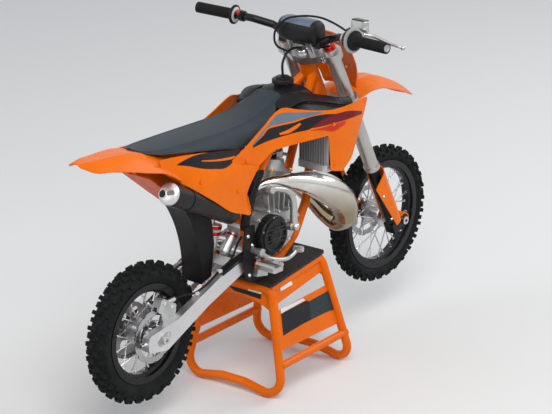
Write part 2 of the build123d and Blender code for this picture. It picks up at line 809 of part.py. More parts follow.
# Tank with its filler cap
tank_top = 838
with BuildPart() as tank:
    with BuildSketch(side.offset(-66)):
        with BuildLine():
            Polyline(
                (470, 782), (520, 824), (560, tank_top), (636, tank_top), (650, 824), (640, 812), (600, 800),
                (520, 770), close=True,
            )
        make_face()
    extrude(amount=132)
    fillet(tank.edges().filter_by(GeomType.LINE).group_by(Axis.Z)[-1], 12)
    with BuildPart(mode=Mode.ADD):
        with BuildSketch(side.offset(-130)):
            with BuildLine():
                Polyline(
                    (492, 806), (540, 830), (600, 822), (668, 802), (740, 790), (748, 782), (640, 782), (530, 796),
                    close=True,
                )
            make_face()
        extrude(amount=260)
        with BuildSketch(plan.offset(700)):
            for wing_side in (-1, 1):
                with BuildLine():
                    Polyline(
                        (496, wing_side * 50), (600, wing_side * 50), (664, wing_side * 74), (676, wing_side * 110),
                        (744, wing_side * 118), (740, wing_side * 128), (645, wing_side * 122),
                        (560, wing_side * 104), (496, wing_side * 84), close=True,
                    )
                make_face()
        extrude(amount=200, mode=Mode.INTERSECT)
    for foot_side in (-1, 1):
        post_between(spot(560, foot_side * 54, 762), spot(560, foot_side * 54, 800), 8)

with BuildPart() as filler_cap:
    with BuildSketch(plan.offset(tank_top + fit_gap)):
        with Locations((594, 0)):
            Circle(24)
    extrude(amount=8)
    with BuildSketch(plan.offset(tank_top + 8)):
        with Locations((594, 0)):
            Circle(31)
    extrude(amount=22)

# Seat
with BuildPart() as seat:
    with BuildSketch(side.offset(-100)):
        with BuildLine():
            top = Spline((-34, 812), (30, 800), (173, 798), (320, 795), (423, 803), (505, 824), (536, 842))
            Polyline(top @ 1, (540, 834), (516, 826), (462, 784), (380, 768), (323, 748), (154, 778), (-5, 800), top @ 0)
        make_face()
    extrude(amount=200)
    with BuildSketch(plan.offset(700)):
        with BuildLine():
            right = Polyline((-40, -48), (60, -70), (250, -84), (380, -84), (470, -66), (545, -40))
            front = Line(right @ 1, (545, 40))
            left = Polyline(front @ 1, (470, 66), (380, 84), (250, 84), (60, 70), (-40, 48))
            Line(left @ 1, right @ 0)
        make_face()
    extrude(amount=160, mode=Mode.INTERSECT)
    for foot_side in (-1, 1):
        post_between(spot(200, foot_side * 59, 757.2), spot(200, foot_side * 59, 776), 6)

# Plastics: each panel is a thin strip, curved in plan, trimmed to its outline in side view


def build_panel(levels, outline, thickness):
    """A right-hand panel: a strip through curves at several heights, kept only inside the outline."""
    with BuildPart() as panel:
        for height, plan_points in levels:
            with BuildSketch(plan.offset(height)):
                with BuildLine():
                    outer = Spline(*[(ahead, -right) for ahead, right in plan_points])
                    inner = Spline(*[(ahead, -right + thickness) for ahead, right in reversed(plan_points)])
                    Line(outer @ 1, inner @ 0)
                    Line(inner @ 1, outer @ 0)
                make_face()
        loft(ruled=True)
        with BuildSketch(side):
            with BuildLine():
                Polyline(*outline, close=True)
            make_face()
        extrude(amount=300, mode=Mode.INTERSECT)
    return panel


shroud_levels = (
    (560, ((240, 119), (360, 121), (480, 130), (600, 149), (720, 156), (812, 138))),
    (745, ((240, 106), (360, 108), (480, 124), (600, 148.5), (720, 155), (812, 138))),
    (860, ((240, 66), (360, 68), (480, 78), (600, 116), (720, 134), (812, 128))),
)
shroud_outline = (
    (256, 724), (397, 784), (471, 818), (529, 806), (645, 784), (761, 785), (802, 782), (794, 762),
    (764, 719), (710, 629), (670, 600), (625, 609), (612, 717), (416, 715), (362, 690),
)
shroud_right = build_panel(shroud_levels, shroud_outline, 3)
side_panel_levels = (
    (520, ((-10, 84), (60, 98), (118, 116), (233, 121), (330, 120), (380, 120))),
    (690, ((-10, 84), (60, 98), (118, 115), (233, 119), (330, 118), (380, 118))),
    (800, ((-10, 80), (60, 80), (118, 80), (233, 78), (330, 76), (380, 76))),
)
side_panel_outline = (
    (4, 752), (118, 669), (233, 588), (316, 560), (293, 648), (356, 686), (252, 719), (244, 752), (150, 771),
    (0, 788),
)
side_panel_right = build_panel(side_panel_levels, side_panel_outline, 3)

with BuildPart() as shrouds:
    add(shroud_right.part)
    for boss_height in (616, 732):
        post_between(spot(630, -144 - seat_gap, boss_height), spot(630, -151, boss_height), 8)
    mirror(about=Plane.XZ)
with BuildPart() as side_panels:
    add(side_panel_right.part)
    for tie_ahead, tie_right, tie_height in ((200, 101, 738), (80, 92, 740)):
        tie_to_tube(spot(tie_ahead, -tie_right, tie_height), rail_bend, rail_tail, rail_radius, 7)
    mirror(about=Plane.XZ)

# Tail moulding, open below, with its skin over the seat's rails
with BuildPart() as tail_hollow:
    with BuildSketch(side.offset(-110)):
        with BuildLine():
            Polyline((-215, 700), (-212, 812), (-120, 808), (-38, 800), (-5, 792), (70, 774), (70, 700), close=True)
        make_face()
    extrude(amount=220)
    with BuildSketch(plan.offset(690)):
        with BuildLine():
            Polyline((-215, -40), (-112, -68), (10, -88), (70, -90), (70, 90), (10, 88), (-112, 68), (-215, 40), close=True)
        make_face()
    extrude(amount=160, mode=Mode.INTERSECT)

# Tail and rear fender in one moulding
with BuildPart() as rear_fender:
    with BuildSketch(side.offset(-110)):
        with BuildLine():
            Polyline(
                (-235, 818), (-120, 812), (-38, 804), (-5, 796), (2, 794), (2, 744), (-112, 778),
                (-230, 800), close=True,
            )
        make_face()
    extrude(amount=220)
    with BuildSketch(plan.offset(700)):
        with BuildLine():
            Polyline(
                (-235, -18), (-215, -43), (-112, -71), (10, -91), (60, -93), (60, 93), (10, 91), (-112, 71), (-215, 43),
                (-235, 18), close=True,
            )
        make_face()
    extrude(amount=160, mode=Mode.INTERSECT)
    add(tail_hollow.part, mode=Mode.SUBTRACT)
    for stud_side in (-1, 1):
        post_between(spot(-58, stud_side * 30, 780 + seat_gap), spot(-58, stud_side * 30, 804), 6)

# Mud flap between the rear wheel and the shock absorber, with the inner fender above it
with BuildPart() as mud_flap:
    with BuildSketch(side.offset(-36)):
        with BuildLine():
            outer = ThreePointArc((134, 612), (190, 500), (206, 366))
            foot = Line(outer @ 1, (203, 366))
            inner = ThreePointArc(foot @ 1, (187, 499), (131, 610))
            Line(inner @ 1, outer @ 0)
        make_face()
    extrude(amount=72)
    for wall_side in (-1, 1):
        with BuildSketch(side.offset(wall_side * 34.5 - 1.5)):
            with BuildLine():
                back = ThreePointArc((132, 611), (188, 500), (204, 366))
                Polyline(back @ 1, (244, 378), (258, 470), (248, 540), (210, 596), (150, 625), back @ 0)
            make_face()
        extrude(amount=3)

with BuildPart() as inner_fender:
    with BuildSketch(side.offset(-60)):
        with BuildLine():
            Polyline(
                (133.5, 612.5), (130.5, 610.5), (98, 640), (-14, 730), (-72, 758), (-70, 761), (-12, 734), (101, 643),
                close=True,
            )
        make_face()
    extrude(amount=120)
    with BuildSketch(Plane(origin=spot(80, 0, 0), x_dir=(0, 1, 0), z_dir=(1, 0, 0))):
        with BuildLine():
            Polyline((-54, 800), (-54, 640), (-36, 600), (36, 600), (54, 640), (54, 800), close=True)
        make_face()
    extrude(amount=320, both=True, mode=Mode.INTERSECT)
    for stud_side in (-1, 1):
        post_between(spot(-58, stud_side * 30, 753), spot(-58, stud_side * 30, 762 - seat_gap), 5)

# Shock absorber between the frame's cross tube and the swingarm's ears
shock_top = spot(292, 0, 548)
shock_foot = spot(252, 0, 354)
shock_up = (shock_top - shock_foot).normalized()
shock_sections = (
    # distance up from the foot eye, radius, length
    (10, 10, 38), (48, 20, 48), (96, 25, 40), (136, 31, 22), (158, 11, 32),
)
eye_half = shock_ear_offset - shock_ear_thickness / 2 - seat_gap
with BuildPart() as shock:
    for eye in (shock_foot, shock_top):
        post_between(eye + Vector(0, -eye_half, 0), eye + Vector(0, eye_half, 0), 12)
    for start, section_radius, length in shock_sections:
        post_between(shock_foot + shock_up * (start - 4), shock_foot + shock_up * (start + length), section_radius)
    post_between(spot(334, -39, 484), spot(290, -39, 430), 16)
    post_between(spot(318, -39, 464), spot(278, -6, 484), 8)

# Foot pegs and the brake pedal
with BuildPart() as footpegs:
    with BuildSketch(plan.offset(383)):
        with Locations((378, -133)):
            RectangleRounded(42, 70, 8)
            Rectangle(24, 50, mode=Mode.SUBTRACT)
            Rectangle(6, 60)
    extrude(amount=15)
    with BuildSketch(side.offset(guard_outer + seat_gap)):
        with BuildLine():
            Polyline((352, 362), (400, 352), (398, 392), (364, 392), close=True)
        make_face()
    extrude(amount=16)
    mirror(about=Plane.XZ)

with BuildPart() as brake_pedal:
    tube_between(
        [spot(352, -122, 438), spot(386, -125, 412), spot(428, -128, 394), spot(460, -134, 390), spot(494, -142, 416)],
        [30, 30, 20], 6,
    )
    post_between(spot(486, -132, 412), spot(492, -160, 416), 9)
    post_between(spot(352, -guard_outer - seat_gap, 438), spot(352, -128, 438), 9)

# Fork, clamps, front axle and guards
fork_half = fork_spacing / 2
with BuildPart() as fork_tubes:
    for fork_side in (-1, 1):
        with BuildSketch(steer.offset(outer_tube_bottom)):
            with Locations((clamp_offset, fork_side * fork_half)):
                Circle(outer_tube_radius)
        extrude(amount=fork_top - outer_tube_bottom)
        with BuildSketch(steer.offset(outer_tube_bottom - 3)):
            with Locations((clamp_offset, fork_side * fork_half)):
                Circle(outer_tube_radius + 3)
        extrude(amount=12)

with BuildPart() as fork_sliders:
    for fork_side in (-1, 1):
        with BuildSketch(steer.offset(12)):
            with Locations((clamp_offset, fork_side * fork_half)):
                Circle(slider_radius)
        extrude(amount=outer_tube_bottom - 15 - seat_gap)
        with BuildSketch(Plane(origin=front_axle + Vector(0, fork_side * (fork_half - 17), 0), x_dir=(1, 0, 0), z_dir=(0, fork_side, 0))):
            Circle(axle_lug_radius)
            Circle(axle_radius + axle_fit, mode=Mode.SUBTRACT)
        extrude(amount=34)
        with BuildSketch(steer.offset(lug_height_above - 36)):
            with Locations((clamp_offset + 2, fork_side * fork_half)):
                Rectangle(36, 34)
        extrude(amount=36)
    with BuildSketch(Plane(origin=front_axle, x_dir=(1, 0, 0), z_dir=(0, 1, 0))):
        Circle(axle_radius + axle_fit)
    extrude(amount=fork_spacing, both=True, mode=Mode.SUBTRACT)

with BuildPart() as front_axle_shaft:
    post_between(front_axle + Vector(0, -fork_half - 24, 0), front_axle + Vector(0, fork_half + 24, 0), axle_radius)
    for end_side in (-1, 1):
        inner = fork_half - 17 - seat_gap
        post_between(
            front_axle + Vector(0, end_side * (front_hub_half_length + seat_gap), 0),
            front_axle + Vector(0, end_side * inner, 0), 13,
        )
        post_between(
            front_axle + Vector(0, end_side * (fork_half + 17 + seat_gap), 0),
            front_axle + Vector(0, end_side * (fork_half + 25), 0), 12,
        )
    with BuildSketch(Plane(origin=front_axle, x_dir=(1, 0, 0), z_dir=(0, 1, 0))):
        Circle(axle_bore_radius)
    extrude(amount=fork_spacing, both=True, mode=Mode.SUBTRACT)

with BuildPart() as triple_clamps:
    for clamp_bottom, clamp_thickness in (
        (lower_clamp_bottom, lower_clamp_thickness), (upper_clamp_bottom, upper_clamp_thickness),
    ):
        with BuildSketch(steer.offset(clamp_bottom)):
            with Locations((clamp_offset, -fork_half), (clamp_offset, fork_half)):
                Circle(outer_tube_radius + clamp_wall)
            with BuildLine():
                Polyline(
                    (clamp_offset - 24, -fork_half), (-26, -24), (-26, 24), (clamp_offset - 24, fork_half),
                    (clamp_offset + 16, fork_half), (clamp_offset + 2, 0), (clamp_offset + 16, -fork_half), close=True,
                )
            make_face()
            with Locations((clamp_offset, -fork_half), (clamp_offset, fork_half)):
                Circle(outer_tube_radius + fit_gap, mode=Mode.SUBTRACT)
        extrude(amount=clamp_thickness)
    with BuildSketch(steer.offset(lower_clamp_bottom)):
        Circle(13)
    extrude(amount=head_tube_bottom - lower_clamp_bottom - seat_gap)
    with BuildSketch(steer.offset(head_tube_top + seat_gap)):
        Circle(13)
    extrude(amount=upper_clamp_bottom + upper_clamp_thickness + 12 - head_tube_top)
    for riser_side in (-1, 1):
        with BuildSketch(steer.offset(upper_clamp_bottom + upper_clamp_thickness - 2)):
            with Locations((7, riser_side * 34)):
                RectangleRounded(28, 22, 6)
        extrude(amount=50)
    bar_centre = steered(7, 0, 712)
    with BuildSketch(Plane(origin=bar_centre, x_dir=(1, 0, 0), z_dir=(0, 1, 0))):
        Circle(bar_radius + fit_gap)
    extrude(amount=60, both=True, mode=Mode.SUBTRACT)

bar_points = (
    # ahead, half width, up, of the bar's right half from its end to the clamps
    (622, bar_half_width, 1001), (650, 158, 994), (690, 104, 974),
)
bar_clamp = steered(7, 0, 712)
right_half = [spot(ahead, -width, up) for ahead, width, up in bar_points]
left_half = [spot(ahead, width, up) for ahead, width, up in reversed(bar_points)]
middle = [bar_clamp - Vector(0, 58, 0), bar_clamp + Vector(0, 58, 0)]
bar_route = right_half + middle + left_half
bar_radii = [40, 34, 30, 30, 34, 40]
with BuildPart() as handlebar:
    tube_between(bar_route, bar_radii, bar_radius)


def along_bar(start, end, inner_radius, outer_radius, bar_side):
    """Adds a sleeve round the outer run of the bar between two distances from its end."""
    end_point = spot(bar_points[0][0], bar_side * bar_points[0][1], bar_points[0][2])
    knee = spot(bar_points[1][0], bar_side * bar_points[1][1], bar_points[1][2])
    inward = (knee - end_point).normalized()
    with BuildSketch(Plane(origin=end_point + inward * start, z_dir=inward)) as section:
        Circle(outer_radius)
        Circle(inner_radius, mode=Mode.SUBTRACT)
    extrude(section.sketch, amount=end - start)


with BuildPart() as grips:
    for bar_side in (-1, 1):
        along_bar(1, grip_length, bar_radius + fit_gap, grip_radius, bar_side)
        along_bar(grip_length, grip_length + 7, bar_radius + fit_gap, grip_radius + 12, bar_side)

with BuildPart() as throttle_housing:
    along_bar(grip_length + 7.3, grip_length + 13, bar_radius + fit_gap, 36, -1)
    along_bar(grip_length + 13, grip_length + 34, bar_radius + fit_gap, 26, -1)

control_right = bar_half_width - grip_length - 42
with BuildPart() as master_cylinder:
    along_bar(grip_length + 34.3, grip_length + 46, bar_radius + fit_gap, 17, -1)
    post_between(spot(662, -control_right, 1001), spot(690, -control_right - 2, 1018), 7)
    with BuildSketch(plan.offset(1010)):
        with Locations((696, -control_right - 14)):
            RectangleRounded(34, 46, 6)
    extrude(amount=30)

with BuildPart() as brake_lever:
    tube_between(
        [
            spot(690, -control_right - 28, 1003), spot(706, -control_right - 58, 998),
            spot(704, -control_right - 112, 988), spot(712, -control_right - 150, 980),
        ],
        [20, 60], 5,
    )
    with BuildSketch(plan.offset(996)):
        with Locations((688, -control_right - 25)):
            Circle(9)
    extrude(amount=13.7)

with BuildPart() as bar_pad:
    with BuildSketch(Plane(origin=bar_clamp + Vector(0, 0, 32), x_dir=(1, 0, 0), z_dir=(0, -1, 0))):
        RectangleRounded(66, 70, 30)
    extrude(amount=64, both=True)
    with BuildPart(mode=Mode.SUBTRACT):
        tube_between(bar_route, bar_radii, bar_radius + seat_gap)
    with BuildSketch(steer.offset(upper_clamp_bottom + upper_clamp_thickness - 10)):
        with Locations((7, 34), (7, -34)):
            Rectangle(30, 24)
    extrude(amount=60, mode=Mode.SUBTRACT)

# Number plate, fork guards and front fender
with BuildPart() as number_plate:
    with BuildSketch(steer.offset(plate_foot)):
        with BuildLine():
            outer = ThreePointArc((92, -92), (116, 0), (92, 92))
            back = Line(outer @ 1, (89, 90))
            inner = ThreePointArc(back @ 1, (113, 0), (89, -90))
            Line(inner @ 1, outer @ 0)
        make_face()
    extrude(amount=plate_height)
    with BuildSketch(Plane(origin=steered(60, 0, plate_foot), x_dir=(0, 1, 0), z_dir=steer_ahead)):
        with BuildLine():
            Polyline((-62, 0), (62, 0), (90, 80), (78, plate_height), (-78, plate_height), (-90, 80), close=True)
        make_face()
    extrude(amount=80, mode=Mode.INTERSECT)
    with BuildSketch(steer.offset(plate_foot + plate_height - 16)):
        with Locations((75, -68), (75, 68)):
            Rectangle(50, 10)
        with Locations((clamp_offset, -fork_half), (clamp_offset, fork_half)):
            Circle(outer_tube_radius + clamp_wall + seat_gap, mode=Mode.SUBTRACT)
    extrude(amount=14)

with BuildPart() as fork_guards:
    for fork_side in (-1, 1):
        with BuildSketch(steer.offset(lug_height_above + seat_gap)):
            with Locations((clamp_offset, fork_side * fork_half)):
                Circle(guard_radius)
                Circle(guard_radius - guard_wall, mode=Mode.SUBTRACT)
            with Locations((clamp_offset - guard_radius, fork_side * fork_half)):
                Rectangle(2 * guard_radius, 2 * guard_radius + 10, mode=Mode.SUBTRACT)
            with Locations((clamp_offset - guard_reach / 2 + 2, fork_side * (fork_half + guard_radius - guard_wall / 2))):
                Rectangle(guard_reach + 4, guard_wall)
        extrude(amount=guard_height)
    with BuildSketch(Plane(origin=steered(clamp_offset, 0, 0), x_dir=steer_ahead, z_dir=(0, -1, 0))):
        with BuildLine():
            Polyline((40, 0), (34, 221), (-guard_reach, 192), (-10, 22), (-10, 0), close=True)
        make_face()
    extrude(amount=fork_spacing, both=True, mode=Mode.INTERSECT)
    for fork_side in (-1, 1):
        lug_middle = front_axle + Vector(0, fork_side * fork_half, 0)
        with BuildSketch(Plane(origin=lug_middle, x_dir=steer_ahead, z_dir=(0, -1, 0))):
            Circle(axle_lug_radius + seat_gap + guard_wall)
            Circle(axle_lug_radius + seat_gap, mode=Mode.SUBTRACT)
            with Locations((-27, 0)):
                Rectangle(40, 80, mode=Mode.SUBTRACT)
            with Locations((0, -30)):
                Rectangle(80, 40, mode=Mode.SUBTRACT)
        extrude(amount=18, both=True)

nose_side = Plane(origin=front_axle, x_dir=(1, 0, 0), z_dir=(0, -1, 0))
with BuildPart() as front_fender:
    with BuildSketch(nose_side.offset(-100)):
        with BuildLine():
            ridge = Spline((-284, 379), (-210, 421), (-137, 449), (-62, 446), (50, 401), (142, 344))
            under = Spline((140, 341), (49, 398), (-62, 443), (-136, 446), (-209, 418), (-283, 376))
            Line(ridge @ 1, under @ 0)
            Line(under @ 1, ridge @ 0)
        make_face()
    extrude(amount=200)
    with BuildSketch(Plane(origin=front_axle).offset(260)):
        with BuildLine():
            Polyline(
                (-290, -24), (-250, -46), (-190, -80), (-55, -62), (80, -44), (144, -16), (144, 16), (80, 44),
                (-55, 62), (-190, 80), (-250, 46), (-290, 24), close=True,
            )
        make_face()
    extrude(amount=300, mode=Mode.INTERSECT)
    for stud_ahead in (10, 40):
        for stud_side in (-1, 1):
            stud_top = lower_clamp_bottom - seat_gap
            post_between(
                steered(stud_ahead, stud_side * 24, stud_top), steered(stud_ahead, stud_side * 24, stud_top - 16), 7,
            )

# Brake calipers: a body slotted round its disc, on a bracket beside the arm or the fork leg
caliper_slot = 13
with BuildPart() as rear_caliper:
    with BuildSketch(side.offset(31)):
        with Locations(Location((41, rear_axle_height + 71, 0), (0, 0, -30))):
            RectangleRounded(66, 40, 8)
    extrude(amount=arm_inner_offset - seat_gap - 31)
    with BuildSketch(side.offset(rear_disc_offset - caliper_slot / 2)):
        with Locations((0, rear_axle_height)):
            Circle(rear_disc_radius + 5)
    extrude(amount=caliper_slot, mode=Mode.SUBTRACT)
    with BuildSketch(side.offset(arm_inner_offset - seat_gap - 5)):
        with BuildLine():
            Polyline((26, 300), (66, 304), (76, 340), (40, 356), (18, 340), close=True)
        make_face()
    extrude(amount=5)
    post_between(spot(46, -49, 364), spot(74, -54, 368), 6)

with BuildPart() as front_caliper:
    with BuildSketch(Plane(origin=steered(-8, 30, 36), x_dir=steer_ahead, z_dir=(0, 1, 0))):
        with Locations(Location((0, 0, 0), (0, 0, 25))):
            RectangleRounded(36, 62, 8)
    extrude(amount=27)
    with BuildSketch(Plane(origin=front_axle + Vector(0, front_disc_offset - caliper_slot / 2, 0), z_dir=(0, 1, 0))):
        Circle(front_disc_radius + 5)
    extrude(amount=caliper_slot, mode=Mode.SUBTRACT)
    with BuildSketch(steer.offset(30)):
        with Locations((6, 66)):
            Rectangle(34, 30)
        with Locations((clamp_offset, fork_half)):
            Circle(slider_radius + seat_gap, mode=Mode.SUBTRACT)
    extrude(amount=26)
    with BuildSketch(Plane(origin=front_axle + Vector(0, front_disc_offset - caliper_slot / 2, 0), z_dir=(0, 1, 0))):
        Circle(front_disc_radius + 5)
    extrude(amount=caliper_slot, mode=Mode.SUBTRACT)

# Hoses and the throttle cable


def hose(points, hose_radius):
    """Adds a round hose whose arcs take up nearly half of the shorter run at each corner."""
    radii = []
    for before, corner, after in zip(points, points[1:], points[2:]):
        inward = corner - before
        outward = after - corner
        half_turn = radians(inward.get_angle(outward)) / 2
        radii.append(0.45 * min(inward.length, outward.length) / tan(half_turn))
    print("hose radii", [round(value) for value in radii])
    tube_between(points, radii, hose_radius)


with BuildPart() as rear_brake_hose:
    hose(
        [
            spot(74.3, -54.1, 368), spot(102, -59, 372), spot(140, -67, 366), spot(186, -72, 380), spot(240, -68, 402.5),
            spot(290, -72, 424), spot(310, -71, 456), spot(331.4, -70, 478),
        ],
        3,
    )

with BuildPart() as vent_hose:
    hose([spot(594, 0, 868.4), spot(590, 0, 904), spot(612, 0, 932), spot(646, 0, 937), steered(-3, 0, 694)], 3.5)

with BuildPart() as throttle_cable:
    hose(
        [
            spot(645.5, -185.4, 1016.5), spot(650, -146, 1028), spot(654, -90, 1038), spot(650, -30, 1034),
            spot(636, 26, 1020), spot(622, 56, 980), spot(628, 58, 936), steered(-14, 44, 678.6),
        ],
        3,
    )

# Paddock stand: two bent loops, top and side rails, side panels and a rubber mat
stand_origin = Vector(rear_axle_x + stand_centre_ahead, 0, 0)
stand = Plane(origin=stand_origin, x_dir=Vector(cos(radians(stand_yaw)), sin(radians(stand_yaw)), 0), z_dir=(0, 0, 1))


def on_stand(ahead, left, up):
    """The point ahead of the stand's middle, left of it and up from the floor."""
    return stand.from_local_coords(Vector(ahead, left, up))


def leg_ahead(end_side, up):
    """Where a leg's middle line lies ahead of the stand's middle, at a height."""
    share = up / stand_top_height
    half = stand_foot_half_length + (stand_top_half_length - stand_foot_half_length) * share
    return stand_top_shift * share + end_side * half


# The bend lifts the tube off the corner of its middle line, so the corner lies lower than the tube's middle
foot_height = stand_tube_radius - stand_foot_dip
rail_drop = stand_mat_thickness + seat_gap + stand_tube_radius / cos(radians(stand_top_tilt))
with BuildPart() as stand_frame:
    for end_side in (-1, 1):
        top_ahead = stand_top_shift + end_side * stand_top_half_length
        top_height = stand_top_height + end_side * stand_top_half_length * mat_slope - rail_drop
        foot_ahead = end_side * stand_foot_half_length
        ring_tube(
            [
                on_stand(top_ahead, stand_top_half_width, top_height),
                on_stand(foot_ahead, stand_foot_half_width, foot_height),
                on_stand(foot_ahead, 40, foot_height + stand_arch_rise),
                on_stand(foot_ahead, -40, foot_height + stand_arch_rise),
                on_stand(foot_ahead, -stand_foot_half_width, foot_height),
                on_stand(top_ahead, -stand_top_half_width, top_height),
            ],
            [24, stand_foot_bend, 60, 60, stand_foot_bend, 24], stand_tube_radius,
        )
        loop_foot = on_stand(foot_ahead, 0, foot_height)
        loop_top = on_stand(top_ahead, 0, top_height)
        loop_rise = (loop_top - loop_foot).length
        loop_left = Vector(-stand.x_dir.Y, stand.x_dir.X, 0)
        loop_up = (loop_top - loop_foot).normalized()
        with BuildSketch(Plane(origin=loop_foot, x_dir=loop_left, z_dir=loop_left.cross(loop_up))):
            with BuildLine():
                arch = ThreePointArc(
                    (-stand_top_half_width, loop_rise - band_depth), (0, loop_rise - band_depth + band_arch),
                    (stand_top_half_width, loop_rise - band_depth),
                )
                Polyline(
                    arch @ 1, (stand_top_half_width + 8, loop_rise - band_depth), (stand_top_half_width - 6, loop_rise),
                    (6 - stand_top_half_width, loop_rise), (-8 - stand_top_half_width, loop_rise - band_depth), arch @ 0,
                )
            make_face()
        extrude(amount=panel_thickness / 2, both=True)
    rear_top = stand_top_height - stand_top_half_length * mat_slope - rail_drop
    front_top = stand_top_height + stand_top_half_length * mat_slope - rail_drop
    for rail_side in (-1, 1):
        tube_between(
            [
                on_stand(stand_top_shift - stand_top_half_length, rail_side * (stand_top_half_width - 6), rear_top),
                on_stand(stand_top_shift + stand_top_half_length, rail_side * (stand_top_half_width - 6), front_top),
            ],
            [], stand_tube_radius,
        )
        share = stand_rail_height / stand_top_height
        rail_left = rail_side * (stand_foot_half_width + (stand_top_half_width - stand_foot_half_width) * share)
        rail_reach = stand_foot_half_length + (stand_top_half_length - stand_foot_half_length) * share
        rail_shift = stand_top_shift * share
        tube_between(
            [
                on_stand(rail_shift - rail_reach, rail_left, stand_rail_height),
                on_stand(rail_shift + rail_reach, rail_left, stand_rail_height),
            ],
            [], stand_tube_radius - 1,
        )
        foot = on_stand(0, rail_side * stand_foot_half_width, foot_height)
        head = on_stand(0, rail_side * stand_top_half_width, stand_top_height - rail_drop)
        slope = (head - foot).normalized()
        with BuildSketch(Plane(origin=foot, x_dir=stand.x_dir, z_dir=stand.x_dir.cross(slope))):
            with BuildLine():
                Polyline(
                    (leg_ahead(-1, 140), 140), (leg_ahead(1, 132), 132), (leg_ahead(1, 330), 330),
                    (leg_ahead(-1, 300), 308), close=True,
                )
            make_face()
            with BuildLine():
                Polyline((-124, 252), (104, 256), (96, 300), (-122, 272), close=True)
            make_face(mode=Mode.SUBTRACT)
        extrude(amount=panel_thickness / 2, both=True)

stand_deck = Plane(
    origin=on_stand(stand_top_shift, 0, stand_top_height),
    x_dir=stand.x_dir * cos(radians(stand_top_tilt)) + Vector(0, 0, sin(radians(stand_top_tilt))),
    z_dir=Vector(0, 0, cos(radians(stand_top_tilt))) - stand.x_dir * sin(radians(stand_top_tilt)),
)
with BuildPart() as stand_mat:
    with BuildSketch(stand_deck.offset(-stand_mat_thickness)):
        RectangleRounded(2 * stand_top_half_length + 20, 2 * stand_top_half_width + 14, 10)
    extrude(amount=stand_mat_thickness - seat_gap)


pieces = {
    "rear_tyre": rear_tyre, "rear_rim": rear_rim, "rear_hub": rear_hub, "rear_disc": rear_disc,
    "rear_sprocket": rear_sprocket, "front_tyre": front_tyre, "front_rim": front_rim, "front_hub": front_hub,
    "front_disc": front_disc, "countershaft": countershaft, "chain": chain, "swingarm": swingarm,
    "rear_axle_shaft": rear_axle_shaft, "frame": frame, "pivot_bolt": pivot_bolt, "crankcase": crankcase,
    "clutch_cover": clutch_cover, "kick_lever": kick_lever, "cylinder": cylinder, "carburettor": carburettor,
    "exhaust_pipe": exhaust_pipe, "silencer": silencer, "silencer_cap": silencer_cap, "radiators": radiators,
    "tank": tank, "filler_cap": filler_cap, "seat": seat, "shrouds": shrouds, "side_panels": side_panels,
    "rear_fender": rear_fender, "mud_flap": mud_flap, "shock": shock, "footpegs": footpegs,
    "brake_pedal": brake_pedal, "fork_tubes": fork_tubes, "fork_sliders": fork_sliders,
    "front_axle_shaft": front_axle_shaft, "triple_clamps": triple_clamps, "handlebar": handlebar, "grips": grips,
    "throttle_housing": throttle_housing, "master_cylinder": master_cylinder, "brake_lever": brake_lever,
    "bar_pad": bar_pad, "number_plate": number_plate, "fork_guards": fork_guards, "front_fender": front_fender,
    "stand_frame": stand_frame, "stand_mat": stand_mat, "frame_guards": frame_guards, "airbox": airbox,
    "inner_fender": inner_fender, "rear_caliper": rear_caliper, "front_caliper": front_caliper,
    "rear_brake_hose": rear_brake_hose, "vent_hose": vent_hose, "throttle_cable": throttle_cable,
}
for label, built in pieces.items():
    finish(built, label)
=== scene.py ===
import json
from math import cos, pi, radians, sin

import bmesh
import bpy
import numpy as np
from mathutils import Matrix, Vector


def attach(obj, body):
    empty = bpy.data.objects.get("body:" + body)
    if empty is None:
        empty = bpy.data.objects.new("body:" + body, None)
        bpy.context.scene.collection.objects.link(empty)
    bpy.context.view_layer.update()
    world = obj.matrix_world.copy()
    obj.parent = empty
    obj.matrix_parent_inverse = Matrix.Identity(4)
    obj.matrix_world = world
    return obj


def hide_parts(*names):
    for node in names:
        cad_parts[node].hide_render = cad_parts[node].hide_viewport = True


# Looks of the mini motocross bike on its stand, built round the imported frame.
# Places are written (ahead, left, up) in millimetres from the rear axle and the floor, as they are measured.
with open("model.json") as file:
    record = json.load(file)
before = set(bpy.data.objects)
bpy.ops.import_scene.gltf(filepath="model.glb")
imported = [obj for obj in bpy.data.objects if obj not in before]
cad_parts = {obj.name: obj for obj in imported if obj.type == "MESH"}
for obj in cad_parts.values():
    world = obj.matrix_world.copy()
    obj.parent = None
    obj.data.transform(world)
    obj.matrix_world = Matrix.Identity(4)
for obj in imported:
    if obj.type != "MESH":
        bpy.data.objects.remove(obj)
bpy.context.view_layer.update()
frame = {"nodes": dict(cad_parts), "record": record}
nodes = frame["nodes"]
jointPlace = {j["name"]: np.array(j["pos_m"]) * 1000 for j in frame["record"]["behaviour"]["joints"]}
rearX = jointPlace["rear_wheel_spin"][0]
rearAxle = np.array([0.0, 0.0, jointPlace["rear_wheel_spin"][2]])
frontAxle = jointPlace["front_wheel_spin"] - [rearX, 0, 0]
steerFoot = jointPlace["steering_turn"] - [rearX, 0, 0]
steerAngle = radians(26.5)
steerUp = np.array([-sin(steerAngle), 0, cos(steerAngle)])
steerAhead = np.array([cos(steerAngle), 0, sin(steerAngle)])
ahead, left, up = np.eye(3)


def steered(forward, sideways, along):
    # a place on the fork: forward of the steering axis, left of it and up along it
    return steerFoot + steerAhead * forward + left * sideways + steerUp * along


# Materials


def newMaterial(name):
    # a material with its shader, and the object coordinates that every pattern reads
    material = bpy.data.materials.new(name)
    material.use_nodes = True
    tree = material.node_tree
    shader = tree.nodes["Principled BSDF"]
    place = tree.nodes.new("ShaderNodeTexCoord")
    return material, tree, shader, place.outputs["Object"]


